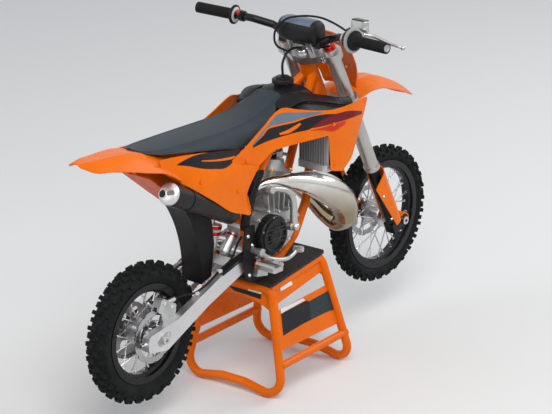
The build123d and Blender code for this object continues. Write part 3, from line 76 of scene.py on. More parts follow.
def noiseOf(tree, place, scale, detail=3.0):
    # soft noise between 0 and 1, in so many patches to the metre
    noise = tree.nodes.new("ShaderNodeTexNoise")
    noise.inputs["Scale"].default_value = scale
    noise.inputs["Detail"].default_value = detail
    tree.links.new(place, noise.inputs["Vector"])
    return noise.outputs["Fac"]


def rampOf(tree, value, low, high, dark, light):
    # maps a value between low and high to a colour between dark and light
    ramp = tree.nodes.new("ShaderNodeValToRGB")
    ramp.color_ramp.elements[0].position = low
    ramp.color_ramp.elements[1].position = high
    ramp.color_ramp.elements[0].color = (*dark, 1)
    ramp.color_ramp.elements[1].color = (*light, 1)
    tree.links.new(value, ramp.inputs["Fac"])
    return ramp.outputs["Color"]


def rangeOf(tree, value, low, high, fromLow=0.3, fromHigh=0.7):
    # maps a value from one span to another in a straight line, held at both ends
    node = tree.nodes.new("ShaderNodeMapRange")
    for socket, amount in (("From Min", fromLow), ("From Max", fromHigh), ("To Min", low), ("To Max", high)):
        node.inputs[socket].default_value = amount
    tree.links.new(value, node.inputs["Value"])
    return node.outputs["Result"]


def bumpOf(tree, height, strength, distance=0.001, onto=None):
    # leans the shading by a height, over another bump where one is given
    bump = tree.nodes.new("ShaderNodeBump")
    bump.inputs["Strength"].default_value = strength
    bump.inputs["Distance"].default_value = distance
    tree.links.new(height, bump.inputs["Height"])
    if onto is not None:
        tree.links.new(onto, bump.inputs["Normal"])
    return bump.outputs["Normal"]


def plainFinish(name, colour, roughness, metallic=0.0, vary=0.12, varyScale=14, grain=260, grainBump=0.08,
                coat=0.0, specular=0.5, spread=0.08):
    # a painted, moulded or metal skin: its tone drifts slowly, its gloss a little, over a fine grain
    material, tree, shader, place = newMaterial(name)
    drift = noiseOf(tree, place, varyScale)
    dark = [c * (1 - vary) for c in colour]
    light = [min(1, c * (1 + vary * 0.7)) for c in colour]
    tree.links.new(rampOf(tree, drift, 0.3, 0.7, dark, light), shader.inputs["Base Color"])
    smear = noiseOf(tree, place, varyScale * 4, 5)
    low, high = max(0.03, roughness - spread), min(1, roughness + spread)
    tree.links.new(rangeOf(tree, smear, low, high), shader.inputs["Roughness"])
    tree.links.new(bumpOf(tree, noiseOf(tree, place, grain, 2), grainBump), shader.inputs["Normal"])
    shader.inputs["Metallic"].default_value = metallic
    shader.inputs["Coat Weight"].default_value = coat
    shader.inputs["Specular IOR Level"].default_value = specular
    return material


def bandFinish(name, colour, roughness, direction, pitch, depth, vary=0.15, specular=0.35):
    # a skin with fine parallel ribs across one direction, as on a seat cover
    material, tree, shader, place = newMaterial(name)
    drift = noiseOf(tree, place, 20)
    dark = [c * (1 - vary) for c in colour]
    light = [min(1, c * (1 + vary)) for c in colour]
    tree.links.new(rampOf(tree, drift, 0.3, 0.7, dark, light), shader.inputs["Base Color"])
    wave = tree.nodes.new("ShaderNodeTexWave")
    wave.bands_direction = direction
    wave.inputs["Scale"].default_value = 1 / pitch / 3.2
    tree.links.new(place, wave.inputs["Vector"])
    fine = bumpOf(tree, noiseOf(tree, place, 900, 2), 0.25, 0.0004)  # a grain under the ribs
    tree.links.new(bumpOf(tree, wave.outputs["Fac"], 0.8, depth, fine), shader.inputs["Normal"])
    gloss = rangeOf(tree, wave.outputs["Fac"], roughness + 0.06, roughness - 0.06, 0, 1)
    tree.links.new(gloss, shader.inputs["Roughness"])
    shader.inputs["Specular IOR Level"].default_value = specular
    return material


def coordinateOf(tree, place, axis="Z"):
    # one coordinate of the object, in metres
    split = tree.nodes.new("ShaderNodeSeparateXYZ")
    tree.links.new(place, split.inputs["Vector"])
    return split.outputs[axis]


def toneAlong(tree, place, low, high, dark, light, axis="Z"):
    # a colour that changes with one coordinate of the object, between two places in metres
    return rampOf(tree, rangeOf(tree, coordinateOf(tree, place, axis), 0, 1, low, high), 0, 1, dark, light)


pipeLook = dict(
    heat=((0.5, 0.43, 0.32), (0.8, 0.79, 0.77)), heatShare=0.55,  # patches of straw and plain plate
    low=((0.42, 0.36, 0.26), (0.86, 0.86, 0.86)), between=(0.45, 0.58),  # brown low down, a painted reflection of the ground, and the heights in metres
    gloss=(0.1, 0.24), dents=0.12,
)


def pipeFinish():
    # plated steel that heat has turned straw in patches near the engine, with a painted reflection of the ground that
    # turns it brown low down
    material, tree, shader, place = newMaterial("platedPipe")
    heat = rampOf(tree, noiseOf(tree, place, 9, 4), 0.36, 0.64, *pipeLook["heat"])
    # painted reflection of the ground: brown below 0.45 m, fading to plain plate by 0.58 m
    low = toneAlong(tree, place, *pipeLook["between"], *pipeLook["low"])
    mix = tree.nodes.new("ShaderNodeMix")
    mix.data_type = "RGBA"
    mix.blend_type = "MULTIPLY"
    mix.inputs[0].default_value = pipeLook["heatShare"]
    tree.links.new(low, mix.inputs[6])
    tree.links.new(heat, mix.inputs[7])
    tree.links.new(mix.outputs[2], shader.inputs["Base Color"])
    tree.links.new(rangeOf(tree, noiseOf(tree, place, 60, 5), *pipeLook["gloss"]), shader.inputs["Roughness"])
    tree.links.new(bumpOf(tree, noiseOf(tree, place, 18, 2), pipeLook["dents"], 0.002), shader.inputs["Normal"])
    shader.inputs["Metallic"].default_value = 1.0
    return material


radiatorLook = dict(
    core=624.4, louvres=(0.5, 0.51, 0.53), dark=(0.07, 0.07, 0.075),  # where the core starts, in millimetres ahead
    tankUp=(0.7215, 0.7225), footUp=(0.6255, 0.6265), tank=((0.38, 0.39, 0.41), (0.55, 0.56, 0.58)),  # in metres up
)


def radiatorFinish():
    # bare alloy louvres before a dark core, between end tanks above and below
    material, tree, shader, place = newMaterial("radiatorCore")
    coreX = (radiatorLook["core"] + rearX) / 1000
    tone = toneAlong(tree, place, coreX, coreX + 0.001, radiatorLook["louvres"], radiatorLook["dark"], "X")
    height = coordinateOf(tree, place)
    both = tree.nodes.new("ShaderNodeMath")
    both.operation = "MAXIMUM"
    tree.links.new(rangeOf(tree, height, 0, 1, *radiatorLook["tankUp"]), both.inputs[0])
    tree.links.new(rangeOf(tree, height, 1, 0, *radiatorLook["footUp"]), both.inputs[1])
    mix = tree.nodes.new("ShaderNodeMix")
    mix.data_type = "RGBA"
    tree.links.new(both.outputs[0], mix.inputs[0])
    tree.links.new(tone, mix.inputs[6])
    tree.links.new(rampOf(tree, noiseOf(tree, place, 30), 0.3, 0.7, *radiatorLook["tank"]), mix.inputs[7])
    tree.links.new(mix.outputs[2], shader.inputs["Base Color"])
    tree.links.new(rangeOf(tree, noiseOf(tree, place, 80), 0.36, 0.5), shader.inputs["Roughness"])
    tree.links.new(bumpOf(tree, noiseOf(tree, place, 500, 2), 0.2), shader.inputs["Normal"])
    shader.inputs["Metallic"].default_value = 0.8
    return material


filmGloss = dict(coat=0.03, specular=0.2, grainBump=0.02)
plainFinishes = {
    # name: colour, roughness, and what differs from the usual finish
    "orangePlastic": ((0.8, 0.15, 0.001), 0.3, dict(vary=0.05, coat=0.03, specular=0.12, grainBump=0.03)),
    "redOrangePlastic": ((0.56, 0.06, 0.002), 0.36, dict(vary=0.08, specular=0.1, grainBump=0.03)),
    "orangePaint": ((0.76, 0.135, 0.001), 0.32, dict(vary=0.06, coat=0.03, specular=0.12, grain=500, grainBump=0.12)),
    "blackPlastic": ((0.008, 0.008, 0.009), 0.44, dict(specular=0.18, grain=420, grainBump=0.2)),
    "satinBlack": ((0.007, 0.007, 0.008), 0.34, dict(vary=0.2, specular=0.22)),
    "greyPlastic": ((0.07, 0.088, 0.11), 0.42, dict(specular=0.3, grain=420, grainBump=0.15)),
    "paleGreyPlastic": ((0.33, 0.335, 0.33), 0.45, dict(specular=0.3, grain=420, grainBump=0.1)),
    "darkGraphic": ((0.008, 0.008, 0.012), 0.3, filmGloss),
    "greyGraphic": ((0.13, 0.17, 0.22), 0.32, filmGloss),
    "wineGraphic": ((0.15, 0.008, 0.014), 0.28, filmGloss),
    "redGraphic": ((0.55, 0.025, 0.008), 0.28, filmGloss),
    "tealGraphic": ((0.015, 0.03, 0.034), 0.34, filmGloss),
    "whiteGraphic": ((0.72, 0.72, 0.71), 0.35, dict(coat=0.1, grainBump=0.02)),
    "tyreRubber": ((0.0105, 0.0125, 0.0125), 0.78,
                   dict(vary=0.35, varyScale=30, grain=600, grainBump=0.4, specular=0.12)),
    "softRubber": ((0.009, 0.009, 0.0095), 0.64, dict(grain=700, grainBump=0.3, specular=0.16)),
    "padCover": ((0.009, 0.009, 0.01), 0.44, dict(grain=500, grainBump=0.25, specular=0.2)),
    "padTop": ((0.12, 0.16, 0.21), 0.5, dict(grain=500, grainBump=0.2)),
    "blackRim": ((0.01, 0.01, 0.012), 0.24, dict(metallic=0.5, grainBump=0.03)),
    "castAluminium": ((0.5, 0.505, 0.505), 0.48, dict(metallic=0.85, vary=0.2, varyScale=26, grain=420, grainBump=0.5)),
    "paleAluminium": ((0.66, 0.665, 0.68), 0.38, dict(metallic=0.9, vary=0.07, grain=700, grainBump=0.15)),
    "forkAluminium": ((0.47, 0.465, 0.45), 0.36, dict(metallic=0.95, vary=0.08, grain=700, grainBump=0.12)),
    "machinedAluminium": ((0.5, 0.5, 0.51), 0.3, dict(metallic=1.0, vary=0.07, grain=900)),
    "forgedAluminium": ((0.5, 0.5, 0.49), 0.42, dict(metallic=1.0, vary=0.12, grain=500, grainBump=0.3)),
    "bareSteel": ((0.4, 0.395, 0.385), 0.36, dict(metallic=1.0, vary=0.16, grain=700)),
    "brightSteel": ((0.6, 0.6, 0.61), 0.2, dict(metallic=1.0, vary=0.06, grain=700, grainBump=0.05)),
    "discSteel": ((0.42, 0.42, 0.43), 0.28, dict(metallic=1.0, vary=0.1, grain=900, grainBump=0.15)),
    "chainSteel": ((0.22, 0.2, 0.175), 0.42, dict(metallic=1.0, vary=0.25, varyScale=80)),
    "redAnodised": ((0.5, 0.018, 0.012), 0.27, dict(metallic=0.85, grainBump=0.04)),
    "goldBolt": ((0.62, 0.3, 0.1), 0.3, dict(metallic=0.9, grainBump=0.05)),
    "redPlastic": ((0.5, 0.012, 0.01), 0.35, dict(grainBump=0.05)),
    "whiteRubber": ((0.6, 0.6, 0.58), 0.55, dict(grainBump=0.1)),
}
finishes = {name: plainFinish(name, colour, roughness, **more)
            for name, (colour, roughness, more) in plainFinishes.items()}
bandFinishes = {
    # name: colour, roughness, direction across the ribs, their pitch and depth in metres, and what differs
    "seatCover": ((0.022, 0.033, 0.043), 0.52, "X", 0.0055, 0.0012, dict(specular=0.28)),
    "ribbedMat": ((0.014, 0.015, 0.016), 0.7, "X", 0.009, 0.002, {}),
}
for finishName, (*look, more) in bandFinishes.items():
    finishes[finishName] = bandFinish(finishName, *look, **more)
finishes["platedPipe"] = pipeFinish()
finishes["radiatorCore"] = radiatorFinish()
print("materials made")

# Shapes: each is a grid of points, rows by columns, in millimetres


def placed(points):
    # millimetres from the rear axle to metres in the frame
    return (np.asarray(points, float) + [rearX, 0, 0]) / 1000


def gridFaces(rows, columns, wrapRows=False, wrapColumns=False):
    # quads between neighbours of a grid, also from the last row or column to the first where it wraps
    i = np.arange(rows if wrapRows else rows - 1)[:, None]
    j = np.arange(columns if wrapColumns else columns - 1)[None, :]
    a = i * columns + j
    b = i * columns + (j + 1) % columns
    c = ((i + 1) % rows) * columns + (j + 1) % columns
    d = ((i + 1) % rows) * columns + j
    return np.stack([a, b, c, d], -1).reshape(-1, 4).tolist()


def makePiece(name, parts, body, finish, replaces=(), sharpAt=38):
    # one mesh of several grids: merged at seams and poles, outward faces, soft shading up to an angle
    verts, faces, start = [], [], 0
    for points, quads in parts:
        points = np.asarray(points, float).reshape(-1, 3)
        verts.append(points)
        faces += [[v + start for v in quad] for quad in quads]
        start += len(points)
    mesh = bpy.data.meshes.new(name)
    mesh.from_pydata(placed(np.concatenate(verts)).tolist(), [], faces)
    mesh.validate()
    work = bmesh.new()
    work.from_mesh(mesh)
    bmesh.ops.remove_doubles(work, verts=work.verts, dist=1e-5)
    bmesh.ops.dissolve_degenerate(work, edges=work.edges, dist=1e-6)
    bmesh.ops.recalc_face_normals(work, faces=work.faces)
    work.to_mesh(mesh)
    work.free()
    mesh.polygons.foreach_set("use_smooth", np.ones(len(mesh.polygons), bool))
    mesh.set_sharp_from_angle(angle=radians(sharpAt))
    piece = bpy.data.objects.new(name, mesh)
    bpy.context.collection.objects.link(piece)
    piece.data.materials.append(finishes[finish])
    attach(piece, body)
    if replaces:
        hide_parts(*replaces)
    return piece


def smoothLine(points, count):
    # a curve through the points: on each stretch a cubic whose ends lean along the neighbours' chord
    p = np.asarray(points, float)
    padded = np.concatenate([[2 * p[0] - p[1]], p, [2 * p[-1] - p[-2]]])
    steps = np.linalg.norm(np.diff(p[:, :3], axis=0), axis=1)
    reach = np.concatenate([[0], np.cumsum(steps)])
    s = np.linspace(0, reach[-1], count)
    i = np.clip(np.searchsorted(reach, s, side="right") - 1, 0, len(p) - 2)
    t = ((s - reach[i]) / steps[i])[:, None]
    a, b, c, d = padded[i], padded[i + 1], padded[i + 2], padded[i + 3]
    return 0.5 * (2 * b + (c - a) * t + (2 * a - 5 * b + 4 * c - d) * t ** 2 + (3 * b - 3 * c + d - a) * t ** 3)


def valueAt(table, x):
    # a cubic between the rows of a table of (place, value), with each row's slope taken from its neighbours
    xs, ys = np.array(table, float).T
    i = np.clip(np.searchsorted(xs, x, side="right") - 1, 0, len(xs) - 2)
    t = np.clip((x - xs[i]) / (xs[i + 1] - xs[i]), 0, 1)
    slope = np.gradient(ys, xs)
    h = xs[i + 1] - xs[i]
    return ((1 + 2 * t) * (1 - t) ** 2 * ys[i] + t * (1 - t) ** 2 * h * slope[i]
            + t ** 2 * (3 - 2 * t) * ys[i + 1] + t ** 2 * (t - 1) * h * slope[i + 1])


def shell(points, thickness):
    # a sheet given by its outer grid gets an inner grid one thickness along its normals, and four edge walls
    p = np.asarray(points, float)
    across = np.gradient(p, axis=1)
    along = np.gradient(p, axis=0)
    normal = np.cross(along, across)
    normal /= np.maximum(np.linalg.norm(normal, axis=2, keepdims=True), 1e-9)
    inner = p - normal * thickness
    rows, columns = p.shape[:2]
    ring = np.concatenate([p, inner[:, ::-1]], axis=1)
    quads = gridFaces(rows, 2 * columns, wrapColumns=True)
    j = np.arange(columns - 1)
    for row in (0, rows - 1):
        base = row * 2 * columns
        quads += np.stack([base + j, base + j + 1, base + 2 * columns - 2 - j, base + 2 * columns - 1 - j], 1).tolist()
    return ring, quads


def mirrored(parts):
    # the same grids on the bike's other side
    return parts + [(np.asarray(points) * [1, -1, 1], quads) for points, quads in parts]


def carried(path, radii, sides=24):
    # a circle of changing radius carried along a path, its frame turned as little as possible, closed by poles
    path = np.asarray(path, float)
    radii = np.broadcast_to(radii, len(path))
    tangents = np.gradient(path, axis=0)
    tangents /= np.linalg.norm(tangents, axis=1, keepdims=True)
    side = np.cross(tangents[0], [0.3, 0.9, 0.2])
    rings = []
    turn = np.linspace(0, 2 * pi, sides, endpoint=False)
    for point, tangent, radius in zip(path, tangents, radii):
        side = side - tangent * side.dot(tangent)
        side = side / np.linalg.norm(side)
        other = np.cross(tangent, side)
        rings.append(point + radius * (np.cos(turn)[:, None] * side + np.sin(turn)[:, None] * other))
    rings = np.concatenate([np.repeat(path[:1, None], sides, 1), rings, np.repeat(path[-1:, None], sides, 1)])
    return rings, gridFaces(len(rings), sides, wrapColumns=True)


def turned(centre, axis, profile, sides=48, closed=False, ribs=0):
    # a profile of (distance along the axis, radius, depth of its knurl) turned about the axis; the knurl is a cosine
    axis = np.asarray(axis, float) / np.linalg.norm(axis)
    side = np.cross(axis, [0.12, 0.3, 0.95])
    side /= np.linalg.norm(side)
    other = np.cross(axis, side)
    profile = np.array([(*row, 0)[:3] for row in profile], float)
    turn = np.linspace(0, 2 * pi, sides, endpoint=False)
    radius = profile[:, 1, None] - profile[:, 2, None] * (0.5 + 0.5 * np.cos(ribs * turn))[None]
    spoke = np.cos(turn)[:, None] * side + np.sin(turn)[:, None] * other
    points = np.asarray(centre, float) + profile[:, 0, None, None] * axis + radius[..., None] * spoke[None]
    return points, gridFaces(len(profile), sides, wrapRows=closed, wrapColumns=True)


def bolt(centre, outward, radius, height=4.0, socket=False):
    # a hexagon head on a washer face with a chamfer, or a round head with a sunk socket
    if socket:
        profile = [(-1, 0), (-1, radius), (height * 0.85, radius), (height, radius * 0.88), (height, radius * 0.5),
                   (height * 0.4, radius * 0.5), (height * 0.4, 0)]
        return turned(centre, outward, profile, 18)
    profile = [(-1, 0), (-1, radius * 1.25), (0.8, radius * 1.25), (0.8, radius), (height * 0.8, radius),
               (height, radius * 0.86), (height, 0)]
    return turned(centre, outward, profile, 6)


def sideBolts(places, radius, height, socket=False):
    # bolts that face right, at places of (ahead, right, up)
    return [bolt((x, -right, z), -left, radius, height, socket) for x, right, z in places]


def ridges(starts, steps):
    # a small stepped profile of (distance, radius) repeated from each start
    return [(start + step, radius) for start in starts for step, radius in steps]


def taperedBar(stations, count, sides):
    # a smooth line through stations of (ahead, left, up, radius), with a circle of that radius carried along it
    line = smoothLine(stations, count)
    return carried(line[:, :3], line[:, 3], sides)


def capped(rings):
    # closed rings along a body, with a pole in the middle of the first and of the last
    count, middle = rings.shape[1], rings.mean(1, keepdims=True)
    rings = np.concatenate([np.repeat(middle[:1], count, 1), rings, np.repeat(middle[-1:], count, 1)])
    return rings, gridFaces(len(rings), count, wrapColumns=True)


def block(centre, size, corner=3.0, edge=1.0, axes=None):
    # rounded rectangles stacked along the third axis, drawn in by one edge width at both ends, with flat caps
    hx, hy, hz = np.array(size, float) / 2
    turn = np.linspace(0, pi / 2, 5)
    rings = []
    for rise, inset in ((-hz, edge), (edge - hz, 0), (hz - edge, 0), (hz, edge)):
        r = max(corner - inset, 0.2)
        ring = []
        for quarter, (sx, sy) in enumerate(((1, 1), (-1, 1), (-1, -1), (1, -1))):
            a = turn + quarter * pi / 2
            ring.append(np.stack([
                sx * (hx - inset - r) + r * np.cos(a), sy * (hy - inset - r) + r * np.sin(a), np.full(5, rise)], -1))
        rings.append(np.concatenate(ring))
    rings = [np.repeat([[0, 0, -hz]], 20, 0)] + rings + [np.repeat([[0, 0, hz]], 20, 0)]
    points = np.array(rings) @ (np.eye(3) if axes is None else np.asarray(axes, float)) + centre
    return points, gridFaces(6, 20, wrapColumns=True)


def bentPanel(upper, lower, placeOf, count=90, across=26, thickness=3.0):
    # a sheet between two edge curves of a side view; placeOf puts its points in space
    v = np.linspace(0, 1, across)[None, :, None]
    flat = smoothLine(upper, count)[:, None] * (1 - v) + smoothLine(lower, count)[:, None] * v
    return shell(placeOf(flat[..., 0], flat[..., 1]), -thickness)


def levelPlace(levels, offset=0.0):
    # a right-hand surface given by curves of (ahead, right) at several heights, straight between them
    def placeOf(x, z):
        curves = [valueAt(curve, x) for height, curve in levels]
        right = curves[0]
        for (low, a), (high, b) in zip(levels, levels[1:]):
            share = np.clip((z - low) / (high - low), 0, 1)
            right = right + share * (valueAt(b, x) - valueAt(a, x))
        return np.stack([x, -right - offset, z], -1)
    return placeOf


# Finishes of the frame's own nodes

nodeFinishes = {
    "orangePaint": ["frame", "stand_frame"],
    "blackRim": ["rear_rim", "front_rim"],
    "machinedAluminium": ["rear_hub", "front_hub", "brake_lever"],
    "paleAluminium": ["swingarm", "shock", "silencer_cap"],
    "forkAluminium": ["fork_tubes", "triple_clamps"],
    "forgedAluminium": ["kick_lever", "brake_pedal", "footpegs"],
    "discSteel": ["rear_disc", "front_disc"],
    "brightSteel": ["rear_axle_shaft", "front_axle_shaft", "pivot_bolt"],
    "bareSteel": ["rear_sprocket", "countershaft"],
    "chainSteel": ["chain"],
    "castAluminium": ["crankcase", "cylinder", "carburettor", "master_cylinder", "rear_caliper", "front_caliper"],
    "satinBlack": ["clutch_cover", "silencer", "fork_sliders", "handlebar", "throttle_housing"],
    "radiatorCore": ["radiators"],
    "blackPlastic": ["tank", "filler_cap", "mud_flap", "frame_guards", "airbox"],
    "softRubber": ["bar_pad", "grips", "rear_brake_hose", "vent_hose", "throttle_cable"],
    "ribbedMat": ["stand_mat"],
    "orangePlastic": ["shrouds", "side_panels", "rear_fender", "front_fender", "number_plate", "fork_guards"],
    "redOrangePlastic": ["inner_fender"],
    "platedPipe": ["exhaust_pipe"],
    "tyreRubber": ["rear_tyre", "front_tyre"],
    "seatCover": ["seat"],
}
for finishName, nodeNames in nodeFinishes.items():
    for nodeName in nodeNames:
        nodes[nodeName].data.materials.clear()
        nodes[nodeName].data.materials.append(finishes[finishName])
print("nodes painted")

# Tyres: a round casing with rows of tapered knobs

tyres = {
    # disc: how far left the disc's bolts stand
    "rear": dict(centre=rearAxle, outer=200, width=72, bead=127, rim=46, pitches=27, disc=-46, body="rear_wheel"),
    "front": dict(centre=frontAxle, outer=211, width=62, bead=152.5, rim=42, pitches=30, disc=45, body="front_wheel"),
}
tyreShape = dict(
    rise=0.27, shoulder=6, tread=9.5, sides=160,  # rise: the crown's, as a share of the width; tread: its depth
    lip=14, beadIn=3.3, lean=2.2, bulge=2.4, ring=0.5, rings=5,  # the wall's foot, its curve and its moulded rings
)
knobRows = (
    # lean from the middle, share of a pitch, share of the tyre's width, length, height
    (0, 0.0, 0.21, 14, 9.5), (21, 0.5, 0.17, 13, 9.5), (-21, 0.5, 0.17, 13, 9.5), (42, 0.05, 0.15, 12, 9.5),
    (-42, 0.05, 0.15, 12, 9.5), (62, 0.52, 0.13, 15, 7), (-62, 0.52, 0.13, 15, 7),
)
knobLevels = ((-2.5, 0, 1.1), (0, 0.84, 0.92), (0, 1, 0.8))  # rise, share of the height, share of the size


def crownOf(size):
    # half width of the tread, its radius at the middle, its rise, and the radius of the arc across it
    rise = size["width"] * tyreShape["rise"]
    half = size["width"] / 2 - tyreShape["shoulder"]
    return half, size["outer"] - tyreShape["tread"], rise, (half * half + rise * rise) / (2 * rise)


def casing(size):
    # half widths and radii from bead to bead: an arc over the tread and a bulged curve down each wall
    half, crown, rise, arc = crownOf(size)
    angle = np.linspace(-1, 1, 33) * np.arcsin(half / arc)
    y, r = arc * np.sin(angle), crown - arc + arc * np.cos(angle)
    lip, bead = size["bead"] + tyreShape["lip"], size["rim"] / 2 - tyreShape["beadIn"]
    t = np.linspace(0, 1, 14)[1:]
    wallY = half + (bead - half) * t ** tyreShape["lean"] + tyreShape["bulge"] * np.sin(pi * t) * (1 - t)
    wallR = crown - rise + (lip - crown + rise) * t
    wallR = wallR + tyreShape["ring"] * np.sin(t * 2 * pi * tyreShape["rings"]) * (t > 0.25) * (t < 0.75)
    return np.concatenate([-wallY[::-1], y, wallY]), np.concatenate([wallR[::-1], r, wallR])


def knob(size, lean, turn, width, length, height):
    # a block that narrows from its foot to its top, square to the tread's arc
    _, crown, _, arc = crownOf(size)
    lean = radians(lean)
    foot = np.array([arc * sin(lean), crown - arc + arc * cos(lean)])
    out, along = np.array([sin(lean), cos(lean)]), np.array([cos(lean), -sin(lean)])
    rings = []
    for rise, share, grow in knobLevels:
        a = np.array([-1, 0, 1, 1, 0, -1]) * width / 2 * grow
        b = np.array([-1, -1, -1, 1, 1, 1]) * length / 2 * grow
        flat = foot + out * (rise + height * share) + a[:, None] * along
        angle = turn + b / size["outer"]
        rings.append(np.stack([np.cos(angle) * flat[:, 1], flat[:, 0], np.sin(angle) * flat[:, 1]], -1))
    return np.array(rings) + size["centre"]


def buildTyre(side):
    # the casing's curve turned about the axle, and at each pitch one knob of every row
    size, sides = tyres[side], tyreShape["sides"]
    y, r = casing(size)
    turn = np.linspace(0, 2 * pi, sides, endpoint=False)
    skin = np.stack([
        np.cos(turn)[None] * r[:, None], np.repeat(y[:, None], sides, 1), np.sin(turn)[None] * r[:, None],
    ], -1) + size["centre"]
    parts = [(skin, gridFaces(len(y), sides, wrapRows=True, wrapColumns=True))]
    pitch = 2 * pi / size["pitches"]
    faces = gridFaces(3, 6, wrapColumns=True) + [[12, 13, 16, 17], [13, 14, 15, 16], [1, 0, 5, 4], [2, 1, 4, 3]]
    for number in range(size["pitches"]):
        for lean, shift, share, length, height in knobRows:
            parts.append((knob(size, lean, (number + shift) * pitch, share * size["width"], length, height), faces))
    makePiece(side + "TyreKnobs", parts, size["body"], "tyreRubber", [side + "_tyre"], 30)


wheelTrim = dict(
    spokes=28, flange=27, nippleIn=12, nippleAside=0.11, spokeRun=110,  # the hub's flanges, and where a nipple stands
    nipple=[(0, 0), (0, 4), (3, 4), (3.4, 3.1), (13, 2.5), (13, 0)],
    bolts=6, boltRing=29, bolt=(3.6, 3.5),  # the disc's bolts: count, ring, radius and height
)


def buildWheelTrim(side):
    # turned nipples where the spokes meet the rim, leaning to their own flange, and bolts round the disc
    size = tyres[side]
    parts = []
    for number in range(wheelTrim["spokes"]):
        angle = 2 * pi * number / wheelTrim["spokes"]
        flange = wheelTrim["flange"] if number % 2 == 0 else -wheelTrim["flange"]
        outward = np.array([cos(angle), 0, sin(angle)])
        rim = outward * (size["bead"] - wheelTrim["nippleIn"])
        top = size["centre"] + rim + left * flange * wheelTrim["nippleAside"]
        parts.append(turned(top, -outward + left * flange / wheelTrim["spokeRun"], wheelTrim["nipple"], 10))
    for number in range(wheelTrim["bolts"]):
        angle = 2 * pi * number / wheelTrim["bolts"]
        spot = wheelTrim["boltRing"] * np.array([cos(angle), 0, sin(angle)]) + left * size["disc"]
        parts.append(bolt(size["centre"] + spot, left * np.sign(size["disc"]), *wheelTrim["bolt"], socket=True))
    makePiece(side + "Nipples", parts, size["body"], "brightSteel")


for tyreSide in tyres:
    buildTyre(tyreSide)
    buildWheelTrim(tyreSide)
print("wheels built")

# Bodywork


def layFilms(films, levels, rise, thickness, count, across):
    # films between two edge curves of the side view, one rise above the panel of these levels, on both sides
    for filmName, (finish, upper, lower) in films.items():
        parts = [bentPanel(upper, lower, levelPlace(levels, rise), count, across, thickness)]
        makePiece(filmName, mirrored(parts), "chassis", finish)


shroud = dict(
    upper=[(254, 726), (330, 756), (397, 785), (471, 817), (529, 805), (600, 790), (660, 784), (761, 785), (803, 782),
           (796, 764), (764, 719), (736, 674), (710, 630), (671, 601)],
    lower=[(251, 715), (310, 696), (350, 684), (384, 698), (416, 714), (480, 716), (550, 717), (600, 717), (613, 714),
           (617, 690), (620, 660), (623, 630), (627, 611), (668, 600)],
    levels=((560, ((240, 119), (360, 121), (480, 130), (600, 149), (720, 156), (812, 138))),
            (745, ((240, 106), (360, 108), (480, 124), (600, 148.5), (720, 155), (812, 138))),
            (860, ((240, 66), (360, 68), (480, 78), (600, 116), (720, 134), (812, 128)))),
    bolts=((632, 153, 745), (640, 152, 628), (300, 118, 716)), bolt=(5, 3.5),
)
shroudFilms = {
    # finish, upper edge and lower edge in the side view: a grey band over a dark one, a wine and a red one ahead
    "shroudGreyBand": ("greyGraphic",
                       [(336, 747), (385, 773), (412, 785), (440, 799), (470, 806), (538, 796), (602, 787)],
                       [(347, 747), (386, 767), (411, 779), (454, 779), (502, 778), (563, 782), (601, 784)]),
    "shroudDarkBand": ("darkGraphic",
                       [(338, 745), (385, 763), (411, 776), (453, 776), (501, 775), (562, 780), (607, 778), (644, 772)],
                       [(341, 741), (375, 745), (406, 747), (444, 748), (500, 749), (545, 749), (590, 763),
                        (643, 770)]),
    "shroudWineBand": ("wineGraphic", [(554, 753), (579, 761), (612, 770), (655, 771), (707, 767), (766, 752)],
                       [(556, 750), (587, 749), (637, 748), (688, 747), (736, 746), (768, 743)]),
    "shroudRedBand": ("redGraphic", [(548, 746), (587, 745), (637, 745), (684, 744)],
                      [(550, 744), (588, 738), (633, 725), (680, 736)]),
}
shroudStreaks = {
    "shroudStreak": ("orangePlastic", [(442, 758), (475, 761), (502, 767), (520, 771)],
                     [(444, 753), (475, 752), (502, 758), (522, 766)]),
    "shroudLine": ("orangePlastic", [(386, 767), (411, 780), (454, 780), (502, 779), (540, 783)],
                   [(386, 763), (411, 776), (454, 776), (502, 775), (540, 780)]),
}


def buildShrouds():
    # a sheet between two edge curves, films on it, and streaks on the films
    parts = [bentPanel(shroud["upper"], shroud["lower"], levelPlace(shroud["levels"]), 120, 30)]
    makePiece("shroudSkins", mirrored(parts), "chassis", "orangePlastic", ["shrouds"])
    layFilms(shroudFilms, shroud["levels"], 0.5, 0.45, 60, 10)
    layFilms(shroudStreaks, shroud["levels"], 0.9, 0.3, 40, 5)
    bolts = sideBolts(shroud["bolts"], *shroud["bolt"])
    makePiece("shroudBolts", mirrored(bolts), "chassis", "orangePlastic")


sidePanel = dict(
    upper=[(-6, 786), (60, 781), (150, 770), (200, 757), (230, 744), (248, 729), (264, 717), (306, 702), (355, 686)],
    lower=[(3, 752), (60, 711), (118, 669), (175, 629), (230, 590), (276, 571), (315, 561), (300, 620), (345, 680)],
    levels=((520, ((-10, 84), (60, 98), (118, 116), (233, 121), (330, 120), (380, 120))),
            (690, ((-10, 84), (60, 98), (118, 115), (233, 119), (330, 118), (380, 118))),
            (800, ((-10, 80), (60, 80), (118, 80), (233, 78), (330, 76), (380, 76)))),
    # the dark band: partly a black graphic, partly the seat's shadow painted on the panel
    band={"sidePanelBandAndSeatShadow": ("darkGraphic",
                            [(56, 761), (93, 768), (131, 770), (175, 765), (217, 758), (262, 750), (296, 744)],
                            [(57, 759), (95, 748), (136, 733), (178, 722), (220, 714), (258, 722), (292, 737)])},
    streak={"sidePanelStreak": ("orangePlastic", [(140, 753), (200, 742), (250, 736), (272, 735)],
                                [(142, 750), (200, 737), (250, 730), (266, 731)])},
    bolts=((262, 121, 640), (120, 113, 700)), bolt=(4.6, 3),
)


